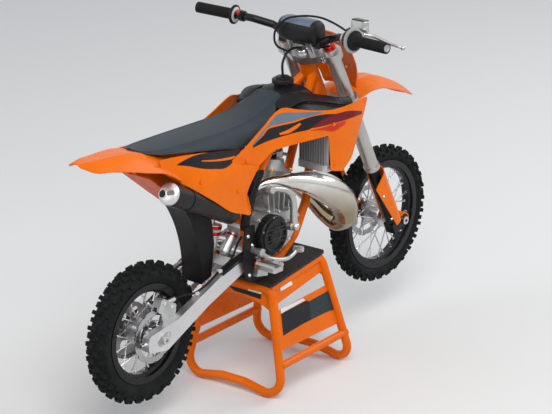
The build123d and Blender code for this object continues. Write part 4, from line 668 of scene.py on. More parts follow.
def buildSidePanels():
    # a sheet between two edge curves, a raised dark band on it, partly a black graphic and partly painted shadow of the
    # seat, and a streak on the band
    parts = [bentPanel(sidePanel["upper"], sidePanel["lower"], levelPlace(sidePanel["levels"]), 110, 26)]
    makePiece("sidePanelSkins", mirrored(parts), "chassis", "orangePlastic", ["side_panels"])
    layFilms(sidePanel["band"], sidePanel["levels"], 0.5, 1.6, 50, 8)
    layFilms(sidePanel["streak"], sidePanel["levels"], 0.9, 0.3, 20, 4)
    bolts = sideBolts(sidePanel["bolts"], *sidePanel["bolt"])
    makePiece("sidePanelBolts", mirrored(bolts), "chassis", "orangePlastic")


tail = dict(
    half=[(-235, 16), (-228, 28), (-212, 42), (-160, 59), (-112, 71), (-50, 83), (10, 93), (62, 97)],
    ridge=[(-235, 816), (-215, 817), (-160, 815), (-112, 813), (-60, 808), (-38, 803), (-10, 793), (20, 784),
           (62, 768)],
    edge=[(-235, 811), (-215, 799), (-160, 789), (-112, 779), (-50, 763), (10, 746), (62, 712)],
    flat=0.3, fall=1.55, crease=1.6, creaseAt=0.42, creaseWidth=0.07, thickness=3.0,
)


def buildTail():
    # across the tail: flat in the middle, two soft creases, and sides that fall away to the edge height
    x = np.linspace(-234.5, 60, 80)
    v = np.linspace(-1, 1, 49)
    half, ridge, edge = (valueAt(tail[curve], x)[:, None] for curve in ("half", "ridge", "edge"))
    fall = np.clip((np.abs(v) - tail["flat"]) / (1 - tail["flat"]), 0, 1) ** tail["fall"]
    crease = tail["crease"] * np.exp(-((np.abs(v) - tail["creaseAt"]) / tail["creaseWidth"]) ** 2)
    z = ridge - (ridge - edge) * fall + crease
    points = np.stack([np.broadcast_to(x[:, None], z.shape), -half * v[None], z], -1)
    makePiece("tailSkin", [shell(points, tail["thickness"])], "chassis", "orangePlastic",
              ["rear_fender"])


seat = dict(
    top=[(-36, 812), (-20, 806), (30, 800), (94, 799), (173, 797), (298, 795), (370, 797), (423, 803), (470, 813),
         (505, 825), (533, 840)],
    crease=[(-36, 3), (-26, 18), (-8, 33), (30, 47), (100, 57), (177, 61), (280, 63), (340, 60), (420, 52), (484, 44),
            (533, 36)],
    low=[(-36, 5), (-30, 20), (-18, 36), (8, 54), (60, 71), (154, 81), (240, 86), (323, 87), (380, 86), (440, 78),
         (490, 62), (533, 44)],
    base=[(-36, 806), (-5, 796), (60, 787), (154, 771), (240, 757), (323, 741), (380, 758), (440, 782), (490, 806),
          (533, 828)],
    puff=3.4, drop=4, crown=4.5, welt=1.5, seam=1.2,  # the walls' puff, the creases' drop, the crown, welt and seam
)


def buildSeat():
    # rings along the seat: up one side, over a crown between two sewn creases, down the other side, and flat below
    x = np.linspace(-35, 532, 130)[:, None]
    top, crease, low, base = (valueAt(seat[curve], x) for curve in ("top", "crease", "low", "base"))
    wall = np.linspace(0, 1, 14)[None]
    crown = np.linspace(1, -1, 33)[None]
    ySide = low + (crease - low) * wall + seat["puff"] * np.sin(pi * wall) ** 0.8
    zSide = base + (top - seat["drop"] - base) * wall ** 0.92
    yCrown = crease * crown
    seam = seat["seam"] * np.exp(-((np.abs(crown) - 0.97) / 0.03) ** 2)
    welt = seat["welt"] * np.exp(-((np.abs(crown) - 0.9) / 0.05) ** 2)
    zCrown = top - seat["drop"] + seat["crown"] * (1 - crown ** 2) ** 0.7 + welt - seam
    under = np.linspace(-1, 1, 9)[None, 1:-1]
    y = np.concatenate([ySide, yCrown[:, 1:-1], -ySide[:, ::-1], low * under], 1)
    z = np.concatenate([zSide, zCrown[:, 1:-1], zSide[:, ::-1], base + 0 * under], 1)
    rings = np.stack([np.broadcast_to(x, y.shape), -y, z], -1)
    piece = makePiece("seatCushion", [capped(rings)], "chassis", "seatCover", ["seat"], 60)


frontFender = dict(
    ridge=[(760, 718), (800, 741), (830, 757), (870, 774), (903, 785), (945, 787), (978, 783), (1040, 761),
           (1090, 738), (1140, 709), (1181, 681)],
    half=[(760, 26), (800, 50), (853, 76), (903, 76), (987, 62), (1060, 52), (1120, 42), (1160, 30), (1181, 15)],
    droop=[(760, 4), (853, 13), (903, 22), (987, 30), (1060, 27), (1120, 20), (1160, 11), (1181, 3)],
    flat=0.3, sunk=4, thickness=3.0,  # the middle's share of the width, and how deep it is sunk between its creases
)


def buildFrontFender():
    # across the fender: a sunk middle between two creases, and sides that droop like wings
    x = np.linspace(760, 1181, 90)
    v = np.linspace(-1, 1, 45)
    ridge, half, droop = (valueAt(frontFender[curve], x)[:, None] for curve in ("ridge", "half", "droop"))
    a, flat = np.abs(v)[None], frontFender["flat"]
    z = ridge - droop * np.clip((a - flat) / (1 - flat), 0, 1) ** 1.1
    z = z - frontFender["sunk"] * np.clip(1 - a / flat, 0, 1) ** 0.8
    points = np.stack([np.broadcast_to(x[:, None], z.shape), -half * v[None], z], -1)
    makePiece("frontFenderSkin", [shell(points, frontFender["thickness"])], "steering", "orangePlastic",
              ["front_fender"])


plate = dict(
    low=480, high=672, middle=587, half=[(480, 58), (502, 64), (535, 76), (582, 90), (630, 86), (672, 78)],
    ahead=116, bow=24, bowHalf=92, curl=9, curlFrom=85, thickness=3.0,
    rivets=(106, 34, (545, 640)), rivet=(3.4, 3),  # forward, sideways and heights along the fork
)


def buildNumberPlate():
    # a bowed plate in front of the bars: its face bulges ahead, and its top and foot curl back
    along = np.linspace(plate["low"], plate["high"], 50)[:, None]
    v = np.linspace(-1, 1, 41)[None]
    half = valueAt(plate["half"], along)
    curl = plate["curl"] * np.minimum(np.abs(along - plate["middle"]) / plate["curlFrom"], 1.08) ** 4
    forward = plate["ahead"] - plate["bow"] * np.abs(v * half / plate["bowHalf"]) ** 2.2 - curl
    points = (steerFoot + steerAhead * forward[..., None] + left * (-half * v)[..., None]
              + steerUp * np.broadcast_to(along, forward.shape)[..., None])
    makePiece("numberPlateSkin", [shell(points, plate["thickness"])], "steering", "orangePlastic",
              ["number_plate"])
    forward, aside, heights = plate["rivets"]
    rivets = [bolt(steered(forward, s * aside, z), -steerAhead, *plate["rivet"]) for s in (-1, 1) for z in heights]
    makePiece("plateRivets", rivets, "steering", "whiteGraphic")


tank = dict(
    top=[(472, 786), (500, 812), (525, 828), (560, 837.5), (600, 838), (634, 836), (648, 822)],
    foot=[(472, 780), (520, 782), (560, 790), (600, 800), (640, 810), (648, 812)],
    wingTop=[(497, 808), (520, 820), (545, 829), (600, 822), (668, 803), (700, 796), (743, 789)],
    wingIn=[(497, 46), (560, 48), (600, 52), (664, 74), (690, 108), (743, 117)],
    wingOut=[(497, 82), (560, 104), (600, 113), (645, 122), (700, 127), (743, 128)],
    shroudTop=[(471, 816), (529, 805), (600, 790), (660, 784), (761, 785)],
    half=66, wingDrop=15, wingThickness=6,
    ribs=0.9, ribPitch=11, ribsFrom=668,  # raised ribs across the front of each wing
    pad=(100, 157, 0.8, 0.7), skirtIn=(3, 4),  # the pad's rows, rise and thickness; the skirt's inset at top and foot
    bolt=(640, -92, 803), cap=(594, 0, 838),
    capProfile=[(0, 0), (0, 24), (8, 24), (8.2, 29, 1.5), (10, 31, 1.8), (19, 31, 1.8), (21, 29.5, 1), (22, 27.5),
                (22.2, 21), (26, 20.5), (27.5, 18.5), (28.5, 8), (29.5, 7), (29.8, 0)],
)


def buildTank():
    # rings across the body: a flat-topped arch; the wings are thin sheets whose outer edge rolls down
    x = np.linspace(472, 648, 60)[:, None]
    v = np.linspace(-1, 1, 41)[None]
    top, foot = valueAt(tank["top"], x), valueAt(tank["foot"], x)
    under = np.linspace(1, -1, 9)[None, 1:-1]
    y = np.concatenate([tank["half"] * v + 0 * x, tank["half"] * under + 0 * x], 1)
    z = np.concatenate([foot + (top - foot) * (1 - np.abs(v) ** 5) ** 0.45, foot + 0 * under], 1)
    body = capped(np.stack([np.broadcast_to(x, y.shape), y, z], -1))
    x = np.linspace(497, 743, 160)[:, None]
    v = np.linspace(0, 1, 16)[None]
    inner, outer = valueAt(tank["wingIn"], x), valueAt(tank["wingOut"], x)
    ribs = tank["ribs"] * np.maximum(np.sin(x * 2 * pi / tank["ribPitch"]), 0)
    ribs = ribs * (x > tank["ribsFrom"]) * np.clip((v - 0.06) / 0.1, 0, 1)
    z = valueAt(tank["wingTop"], x) - tank["wingDrop"] * v ** 2 + ribs
    wing = np.stack([np.broadcast_to(x, z.shape), -(inner + (outer - inner) * v), z], -1)
    makePiece("tankShell", [body] + mirrored([shell(wing, tank["wingThickness"])]), "chassis", "blackPlastic",
              ["tank"], 40)
    first, last, rise, thickness = tank["pad"]
    pad = (wing + [0, 0, rise])[first:last, 1:-1]
    makePiece("tankWingPads", mirrored([shell(pad, thickness)]), "chassis", "greyPlastic", (), 50)
    # a dark skirt from the wing's outer edge down to the shroud's top edge
    x = np.linspace(520, 742, 60)[:, None]
    v = np.linspace(0, 1, 8)[None]
    high, rim = valueAt(tank["wingTop"], x) - tank["wingDrop"] - 1, valueAt(tank["shroudTop"], x) - 3
    outer = valueAt(tank["wingOut"], x) - tank["skirtIn"][0]
    edge = -levelPlace(shroud["levels"])(x, rim)[..., 1] - tank["skirtIn"][1]
    aside, height = outer + (edge - outer) * v, high + (rim - high) * v
    skirt = np.stack([np.broadcast_to(x, (60, 8)), -aside, height], -1)
    makePiece("tankSkirts", mirrored([shell(skirt, -2)]), "chassis", "blackPlastic", (), 50)
    makePiece("tankBolts", mirrored([bolt(tank["bolt"], up, 6, 5)]), "chassis", "brightSteel")
    cap = turned(tank["cap"], up, tank["capProfile"], 144, ribs=24)
    makePiece("fillerCapTop", [cap], "chassis", "satinBlack", ["filler_cap"])


buildShrouds()
buildSidePanels()
buildTail()
buildSeat()
buildFrontFender()
buildNumberPlate()
buildTank()
print("bodywork built")

# Exhaust

pipe = dict(
    # ahead, left, up, radius
    stations=[
        (586, 0, 549, 17), (609, 0, 543.5, 17.5), (640, -2, 533, 19), (700, -8, 482, 21), (742, -28, 430, 25),
        (765, -62, 404, 31), (762, -95, 432, 37), (722, -106, 492, 42), (650, -106, 544, 41), (570, -102, 580, 31),
        (492, -93, 602, 19), (440, -64, 602, 13), (404, -42, 582, 11), (374, -40, 562, 11), (352, -43, 548, 11),
        (330, -48, 541, 11), (314, -62, 542, 11), (299, -79, 551, 11),
    ],
    steps=170, welds=(3, 12), bead=0.9, beadWidth=2.2,  # points along the pipe, and the stations with a weld
    seam=(34, 118), seamRadius=1.3,  # the outer seam's first and last point
    flange=(578, 0, 550.5), flangeAxis=(0.978, 0, -0.208), flangeProfile=[(0, 17), (0, 24), (6, 24), (6, 17)],
    spring=(585, 25, 549), springRadius=3.2, springTurns=8, springRun=0.75, springDrop=0.16, wire=0.8,
)


def buildPipe():
    # welded cones carried along one smooth path, a low bead at each weld and one along the outer bend
    stations, count = np.array(pipe["stations"]), pipe["steps"]
    line = smoothLine(stations, count)
    steps = np.linalg.norm(np.diff(stations[:, :3], axis=0), axis=1)
    welds = np.concatenate([[0], np.cumsum(steps)])[slice(*pipe["welds"])]
    reach = np.linspace(0, steps.sum(), count)
    bead = sum(pipe["bead"] * np.exp(-((reach - weld) / pipe["beadWidth"]) ** 2) for weld in welds)
    parts = [carried(line[:, :3], line[:, 3] + bead, 40)]
    chamber = line[slice(*pipe["seam"])]
    normal = np.cross(np.gradient(chamber[:, :3], axis=0), left)
    normal /= np.linalg.norm(normal, axis=1, keepdims=True)
    parts.append(carried(chamber[:, :3] - normal * chamber[:, 3:], pipe["seamRadius"], 8))
    parts.append(turned(pipe["flange"], pipe["flangeAxis"], pipe["flangeProfile"], 40, closed=True))
    makePiece("expansionPipe", parts, "chassis", "platedPipe", ["exhaust_pipe"], 60)
    # a coil spring on each side: a circle that moves ahead and down as it turns
    turn = np.linspace(0, 2 * pi * pipe["springTurns"], 130)
    x, aside, z = pipe["spring"]
    springs = []
    for side in (-1, 1):
        across, high = pipe["springRadius"] * np.cos(turn), pipe["springRadius"] * np.sin(turn)
        coil = np.stack([
            x + turn * pipe["springRun"], side * aside + across, z - turn * pipe["springDrop"] + high], -1)
        springs.append(carried(coil, pipe["wire"], 6))
    makePiece("pipeSprings", springs, "chassis", "brightSteel")


silencer = dict(
    front=(298, -80, 552.5), rear=(14, -98, 692), radius=31,
    outlet=13, outletRadius=10.5, oval=12, ovalSize=(24, 13, 4.4),  # how far the outlet and the oval stand aside
    strap=232, strapWidth=12,
)


def buildSilencer():
    # a stepped tube with a rounded shoulder, a domed end cap, and an outlet beside a sunk oval
    start, r = np.array(silencer["front"], float), silencer["radius"]
    line = np.array(silencer["rear"], float) - start
    end = np.linalg.norm(line)
    line = line / end
    body = [(0, 0), (0, 14), (4, 16), (26, r - 1.5), (32, r), (60, r), (60.5, r + 0.6), (66, r + 0.6), (66.5, r),
            (end - 12, r), (end - 11, r + 0.8), (end - 1, r + 0.8), (end, r - 0.5), (end, 0)]
    makePiece("silencerTube", [turned(start, line, body, 64)], "chassis", "satinBlack", ["silencer"])
    cap = [(end + 0.2, 0), (end + 0.2, r), (end + 4, r), (end + 8, r - 1), (end + 11, r - 4), (end + 13.5, r - 10),
           (end + 14.8, 12), (end + 15.2, 0)]
    aside = np.array([-0.642, 0.767, 0])
    aside = aside - line * aside.dot(line)
    aside /= np.linalg.norm(aside)
    hole, w = start + line * (end + 11) + aside * silencer["outlet"], silencer["outletRadius"]
    lip = [(-4, w - 0.1), (-4, w + 1.9), (5.2, w + 1.9), (5.8, w + 1.3), (5.8, w + 0.3), (5.2, w - 0.1)]
    makePiece("silencerEndCap", [turned(start, line, cap, 64), turned(hole, line, lip, 40, closed=True)], "chassis",
              "paleAluminium", ["silencer_cap"])
    # a satin black disc fills the outlet: partly soot, partly painted shade inside the open pipe
    dark = turned(hole, line, [(-4, 0), (-4, w), (4.4, w), (4.4, 0)], 40)
    makePiece("silencerOutletSootAndShade", [dark], "chassis", "satinBlack")
    middle = start + line * (end + 13.6) - aside * silencer["oval"]
    oval = block(middle, silencer["ovalSize"], 6.4, 0.8, (aside, np.cross(line, aside), line))
    makePiece("silencerOval", [oval], "chassis", "chainSteel")
    w = silencer["strapWidth"]
    band = [(0, r + 0.2), (0, r + 1.6), (w, r + 1.6), (w, r + 0.2)]
    strap = turned(start + line * silencer["strap"], line, band, 64, closed=True)
    makePiece("silencerStrap", [strap], "chassis", "satinBlack")


buildPipe()
buildSilencer()
print("exhaust built")

# Engine and the controls beside it

engine = dict(
    # screws and bandScrews stand at (ahead, right, up), and a bolt is (radius, height)
    screws=[(x, 90, z) for x, z in (
        (384, 514), (425, 530), (470, 518), (512, 514), (550, 486), (548, 446), (512, 426), (470, 406))],
    screw=(4.4, 4),
    leftCover=(526, 82, 455), leftRing=41, leftAngles=(20, 92, 164, 236, 308), leftScrew=(4, 3.5),
    barrelFoot=(508, 0, 455), barrelLean=12, nutsUp=156, nutsAside=(41, 39), nut=(5.6, 7),
    plugUp=178, plug=[(0, 0), (0, 12.5), (6, 12.5), (7, 11), (9, 12.5), (11, 11), (13, 12.5), (20, 11.5), (24, 8),
                      (24, 0)],
    inletAxis=(75, 0, -8), bands=((402, 573.3, 24), (456, 567.5, 24), (382, 575.4, 30), (336, 579.5, 30)),
    bandScrews=((406, 27, 573), (460, 27, 567), (386, 33, 575)), bandScrew=(3.4, 4),
    slideTop=(435, 0, 614.5), slideProfile=[(0, 0), (0, 18, 1), (9, 18, 1), (11, 15), (12, 7), (20, 6), (21, 0)],
    slideScrews=(18, 22, 615), idleScrew=(445, -27, 572), idle=[(0, 0), (0, 6), (5, 6), (6, 4), (12, 4), (12.5, 0)],
)


def buildEngineDetails():
    # screws round the covers, nuts on the head, bands on the inlet, the plug's boot and the carburettor's top
    screws = sideBolts(engine["screws"], *engine["screw"], socket=True)
    x, y, z = engine["leftCover"]
    for angle in np.radians(engine["leftAngles"]):
        spot = (x + engine["leftRing"] * cos(angle), y, z + engine["leftRing"] * sin(angle))
        screws.append(bolt(spot, left, *engine["leftScrew"], socket=True))
    makePiece("caseScrews", screws, "chassis", "brightSteel")
    lean, base = radians(engine["barrelLean"]), np.array(engine["barrelFoot"])
    headUp, headAhead = np.array([sin(lean), 0, cos(lean)]), np.array([cos(lean), 0, -sin(lean)])
    x, y = engine["nutsAside"]
    head = base + headUp * engine["nutsUp"]
    nuts = [bolt(head + headAhead * x * sx + left * y * sy, headUp, *engine["nut"]) for sx in (-1, 1) for sy in (-1, 1)]
    makePiece("headNuts", nuts, "chassis", "goldBolt")
    boot = turned(base + headUp * engine["plugUp"], headUp, engine["plug"], 30)
    makePiece("plugBoot", [boot], "chassis", "softRubber")
    bands = [turned((x, 0, z), engine["inletAxis"], [(0, r), (0, r + 2.2), (8, r + 2.2), (8, r)], 48, closed=True)
             for x, z, r in engine["bands"]]
    bands += sideBolts(engine["bandScrews"], *engine["bandScrew"], socket=True)
    makePiece("inletBands", bands, "chassis", "brightSteel")
    top = turned(engine["slideTop"], up, engine["slideProfile"], 96, ribs=24)
    makePiece("carburettorTop", [top], "chassis", "satinBlack")
    x, y, z = engine["slideScrews"]
    screws = [bolt((engine["slideTop"][0] + sx * x, sy * y, z), up, 3.2, 3, socket=True)
              for sx in (-1, 1) for sy in (-1, 1)]
    screws.append(turned(engine["idleScrew"], -left, engine["idle"], 20))
    makePiece("carburettorScrews", screws, "chassis", "goldBolt")


clutchCover = dict(
    centre=(425, -87.3, 464),
    profile=[(0, 0), (0, 57), (20, 57), (23.5, 56), (25.4, 53.6), (26, 51), (26, 50.4), (29.4, 49.8), (30, 49),
             (30, 42), (29.4, 41), (26, 40.6), (26, 25.6), (29, 25), (30, 23.6), (30, 15), (28.8, 14), (28.6, 0)],
    ribs=(-21, -10, 10, 21), ribsOut=27.9, ribsRadius=41, rib=(4, 4.4),  # heights, how far out, reach, and section
    screws=(35, 95, 155, 215, 275, 335), screwsOut=24.9, screwRing=53.6, screw=(2.6, 2.2),
)


def buildClutchCover():
    # a turned cover with a stepped rim, a raised ring and hub, four level ribs across it, and screws round its edge
    centre = np.array(clutchCover["centre"])
    parts = [turned(centre, -left, clutchCover["profile"], 96)]
    for z in clutchCover["ribs"]:
        size = (2 * np.sqrt(clutchCover["ribsRadius"] ** 2 - z * z), *clutchCover["rib"])
        parts.append(block(centre - left * clutchCover["ribsOut"] + up * z, size, 1.4, 0.7))
    makePiece("clutchCoverFace", parts, "chassis", "satinBlack", ["clutch_cover"])
    rim = centre - left * clutchCover["screwsOut"]
    screws = [bolt(rim + clutchCover["screwRing"] * np.array([cos(a), 0, sin(a)]), -left, *clutchCover["screw"],
                   socket=True) for a in np.radians(clutchCover["screws"])]
    makePiece("clutchCoverScrews", screws, "chassis", "bareSteel")


kickLever = dict(
    arm=[(506, -114, 472, 11.5), (505, -114.3, 500, 11), (502, -115.3, 540, 10), (490, -115, 568, 9.2),
         (466, -114, 587, 8.6), (438, -111, 597, 8.2), (414, -108.3, 603, 8.2)],
    boss=(506, -87.3, 472), bossProfile=[(0, 0), (0, 13), (10, 13), (10.5, 16, 1.4), (27, 16, 1.4), (28, 14), (34, 12),
                                         (38, 11), (38, 0)],
    foot=(414, -97.3, 602), footAxis=(-6, -24, 2), grips=range(0, 20, 5), bolt=((506, 125.3, 472),),
)


def buildKickLever():
    # a tapered arm swept up from a knurled boss, and a folding foot piece with grip rings
    boss = turned(kickLever["boss"], -left, kickLever["bossProfile"], 96, ribs=24)
    foot = [(-3, 0), (-3, 9)] + ridges(kickLever["grips"], ((0, 10), (3, 10), (3.6, 8.8), (4.6, 8.8)))
    foot += [(21, 10.6), (24, 10), (25, 7), (25, 0)]
    parts = [taperedBar(kickLever["arm"], 60, 24), boss, turned(kickLever["foot"], kickLever["footAxis"], foot, 32)]
    makePiece("kickArm", parts, "chassis", "forgedAluminium", ["kick_lever"], 40)
    makePiece("kickBolt", sideBolts(kickLever["bolt"], 6.4, 4), "chassis", "brightSteel")


brakePedal = dict(
    arm=[(352, -122, 438, 8), (368, -123, 424, 7), (386, -125, 411, 6.4), (428, -128, 396, 6), (456, -133, 393, 6),
         (476, -138, 402, 5.6), (490, -141, 414, 5.4)],
    boss=(352, -92, 438), bossProfile=[(0, 0), (0, 9), (24, 9), (26, 11), (37, 11), (38, 9), (38, 0)],
    tip=(486, -131, 411.6), tipAxis=(6, -28, 4), grips=range(1, 26, 5),
)
footPegs = dict(
    rows=(358.5, 397.5), first=104, pitch=7.4, count=9, height=397, tooth=[(0, 0), (0, 4.4), (9, 1.4), (9.2, 0)],
    bracket=(378, -97.5, 391), bracketSize=(38, 10, 18),
    pins=((366, -96, 391), (386, -96, 391)), pin=[(-3, 0), (-3, 4), (8, 4), (9, 3), (9, 0)],
    guardBolts=((334, 91.7, 482), (340, 91.7, 366), (402, 91.7, 354), (352, 91.7, 452)), guardBolt=(4.6, 3.5),
)


def buildPedals():
    # the brake pedal is a bent bar with a ridged tip; the foot pegs carry two rows of teeth
    tip = [(0, 0), (0, 8)] + ridges(brakePedal["grips"], ((0, 9.4), (2.6, 9.4), (3.2, 8), (4.4, 8)))
    tip += [(28, 8), (28, 0)]
    parts = [taperedBar(brakePedal["arm"], 60, 20), turned(brakePedal["boss"], -left, brakePedal["bossProfile"], 36),
             turned(brakePedal["tip"], brakePedal["tipAxis"], tip, 28)]
    makePiece("brakePedalArm", parts, "chassis", "forgedAluminium", ["brake_pedal"], 40)
    teeth = [turned((x, -footPegs["first"] - footPegs["pitch"] * step, footPegs["height"]), up, footPegs["tooth"], 4)
             for x in footPegs["rows"] for step in range(footPegs["count"])]
    makePiece("pegTeeth", mirrored(teeth), "chassis", "forgedAluminium")
    brackets = [block(footPegs["bracket"], footPegs["bracketSize"], 4, 1)]
    makePiece("pegBrackets", mirrored(brackets), "chassis", "orangePaint")
    bolts = sideBolts(footPegs["guardBolts"], *footPegs["guardBolt"])
    bolts += [turned(place, -left, footPegs["pin"], 16) for place in footPegs["pins"]]
    makePiece("frameGuardBolts", mirrored(bolts), "chassis", "brightSteel")


buildEngineDetails()
buildClutchCover()
buildKickLever()
buildPedals()
print("engine built")

# Rear end: shock absorber, swingarm trim, chain

shock = dict(
    foot=(252, 0, 354.0), top=(292, 0, 548.0),
    body=[(8, 0), (8, 10), (42, 10), (44, 17), (48, 20), (62, 20), (63, 18.6), (66, 18.6), (67, 20), (78, 20),
          (79, 18.6), (82, 18.6), (83, 20), (90, 20), (94, 24), (97, 25), (104, 25), (105, 23.4), (108, 23.4),
          (109, 25), (126, 25), (128, 28), (130, 31), (133, 31), (134, 28.5), (159, 28.5), (160, 31), (162, 31),
          (163, 20), (164, 11), (190, 11), (190, 0)],
    eye=[(0, 0), (0, 11), (1, 12), (22, 12), (23, 11), (23, 0)], eyeHalf=11.5, boltsOut=18.4, bolt=(6, 5),
    can=(290, -39, 430.0), canAxis=(44, 0, 54),
    canProfile=[(0, 0), (0.6, 8), (3, 12.5), (7, 15.4), (10, 16), (56, 16), (57, 15), (60, 15), (61, 16), (66, 16),
                (69, 14), (69.6, 0)],
    link=[(318, -39, 464), (300, -24, 473), (278, -6, 484)], linkRadius=8,
    rings=(133.6, 151), ring=[(0, 20), (0, 31.4), (1, 32), (8, 32), (9, 31.4), (9, 20)],
    canRing=57, canRingProfile=[(0, 14), (0, 16.8), (4, 16.8), (4, 14)],
    paleRing=143.4, paleProfile=[(0, 20), (0, 31), (6.8, 31), (6.8, 20)],
)


def buildShock():
    # a stepped body on the damper's line with grooves, two red rings and a pale one, and a domed reservoir
    foot, top, can = (np.array(shock[place]) for place in ("foot", "top", "can"))
    line = (top - foot) / np.linalg.norm(top - foot)
    along = np.array(shock["canAxis"]) / np.linalg.norm(shock["canAxis"])
    parts = [turned(foot, line, shock["body"], 48)]
    parts += [turned(eye - left * shock["eyeHalf"], left, shock["eye"], 32) for eye in (foot, top)]
    parts += [turned(can, along, shock["canProfile"], 40), carried(shock["link"], shock["linkRadius"], 20)]
    makePiece("shockBody", parts, "chassis", "paleAluminium", ["shock"], 35)
    rings = [turned(foot + line * d, line, shock["ring"], 64, closed=True) for d in shock["rings"]]
    rings.append(turned(can + along * shock["canRing"], along, shock["canRingProfile"], 40, closed=True))
    makePiece("shockRings", rings, "chassis", "redAnodised")
    ring = turned(foot + line * shock["paleRing"], line, shock["paleProfile"], 48, closed=True)
    makePiece("shockPaleRing", [ring], "chassis", "whiteRubber")
    caps = [bolt(eye + left * s * shock["boltsOut"], left * s, *shock["bolt"]) for eye in (foot, top) for s in (-1, 1)]
    makePiece("shockBolts", caps, "chassis", "brightSteel")


armTrim = dict(
    axes=((0.95, 0, 0.3), (-0.3, 0, 0.95), (0, -1, 0)),  # along the arm, across it, and to the right
    slot=(1, -82.2, 281), slotSize=(54, 27, 1.2), plate=(10, -83.4, 283), plateSize=(26, 21, 2.4),
    adjuster=(-60.5, -70, 281), adjusterBolt=(5, 7),
    rod=(-64, -70, 281), rodProfile=[(0, 0), (0, 3), (13, 3), (13.6, 0)],
    washer=(0, -90.6, 280), washerProfile=[(0, 8.4), (0, 11.4), (1.4, 10.8), (1.4, 8.4)],
    slider=[(240, 396.6), (270, 404.6), (300, 412.8), (340, 423.4), (360, 428.6), (372, 431), (382, 427), (389, 417)],
    sliderAcross=(-84, -56), sliderRise=[-4.5] + [2.6] * 6 + [-4.5], sliderThickness=2.2,
    clips=(((146, -69, 366), (12, 12, 9)), ((240, -70.5, 403), (12, 13, 9))),
    pins=((30, 57.8, 368), (58, 57.8, 352)), pin=(4, 3), piston=(22, -30.8, 358),
    pistonProfile=[(-2, 0), (-2, 9), (0, 10), (20, 10), (20, 0)],
)


def buildArmTrim():
    # axle plates and chain adjusters at the arm's rear, a bent sheet as the chain's slider, hose clips, caliper pins
    inset = [block(armTrim["slot"], armTrim["slotSize"], 13, 0.4, armTrim["axes"])]
    makePiece("axleSlotEdges", mirrored(inset), "chassis", "bareSteel")
    plates = [block(armTrim["plate"], armTrim["plateSize"], 5, 0.7, armTrim["axes"]),
              bolt(armTrim["adjuster"], -ahead, *armTrim["adjusterBolt"]),
              turned(armTrim["rod"], -ahead, armTrim["rodProfile"], 16),
              turned(armTrim["washer"], -left, armTrim["washerProfile"], 36, closed=True)]
    makePiece("axlePlates", mirrored(plates), "chassis", "brightSteel")
    path = np.array(armTrim["slider"])
    path = smoothLine(np.column_stack([path, np.zeros(len(path))]), 40)
    y = np.linspace(*armTrim["sliderAcross"], 8)[None]
    rise = np.array(armTrim["sliderRise"])[None]
    slider = np.stack([np.repeat(path[:, :1], 8, 1), np.repeat(y, 40, 0), path[:, 1:2] + rise], -1)
    makePiece("armSlider", mirrored([shell(slider, armTrim["sliderThickness"])]), "chassis", "softRubber",
              (), 50)
    clips = [block(place, size, 3, 1.2) for place, size in armTrim["clips"]]
    makePiece("hoseClips", clips, "chassis", "whiteRubber")
    pins = sideBolts(armTrim["pins"], *armTrim["pin"], socket=True)
    pins.append(turned(armTrim["piston"], left, armTrim["pistonProfile"], 30))
    makePiece("rearCaliperPins", pins, "chassis", "brightSteel")


chainLine = dict(
    rear=(0.0, 280.0), front=(430.0, 428.0), rearRadius=80.85, frontRadius=22.23, side=48.0, links=97, half=6,
    pin=[(-0.5, 0), (-0.5, 3.4), (0.9, 3.4), (0.9, 2), (1.6, 1.8), (1.6, 0)],
)


def chainPlaces(count):
    # equal steps round the chain: the top run, the front wrap, the lower run and the rear wrap
    rear, front = np.array(chainLine["rear"]), np.array(chainLine["front"])
    small, large = chainLine["frontRadius"], chainLine["rearRadius"]
    length = np.linalg.norm(front - rear)
    line = (front - rear) / length
    across = np.array([-line[1], line[0]])
    drop = (large - small) / length
    rise = np.sqrt(1 - drop * drop)
    run = length * rise
    upper, lower = across * rise + line * drop, -across * rise + line * drop
    start, end = np.arctan2(upper[1], upper[0]), np.arctan2(lower[1], lower[0])
    wrapFront, wrapRear = (start - end) % (2 * pi) * small, (end - start) % (2 * pi) * large
    s = np.arange(count) * (2 * run + wrapFront + wrapRear) / count
    ends = np.cumsum([run, wrapFront, run])
    topRun = rear + upper * large + np.array([upper[1], -upper[0]]) * s[:, None]
    a = start - (s - ends[0]) / small
    frontWrap = front + small * np.stack([np.cos(a), np.sin(a)], -1)
    lowRun = front + lower * small + np.array([lower[1], -lower[0]]) * (s - ends[1])[:, None]
    a = end - (s - ends[2]) / large
    rearWrap = rear + large * np.stack([np.cos(a), np.sin(a)], -1)
    stretch = np.searchsorted(ends, s, side="right")[:, None]
    return np.select([stretch == n for n in range(4)], [topRun, frontWrap, lowRun, rearWrap])


def buildChainPins():
    # a riveted pin end on both faces of the chain at each link
    parts = [turned((x, chainLine["side"] + chainLine["half"] * out, z), left * out, chainLine["pin"], 8)
             for x, z in chainPlaces(chainLine["links"]) for out in (-1, 1)]
    makePiece("chainPins", parts, "chassis", "bareSteel")


buildShock()
buildArmTrim()
buildChainPins()
print("rear end built")

# Front end: fork, clamps, handlebar and its controls

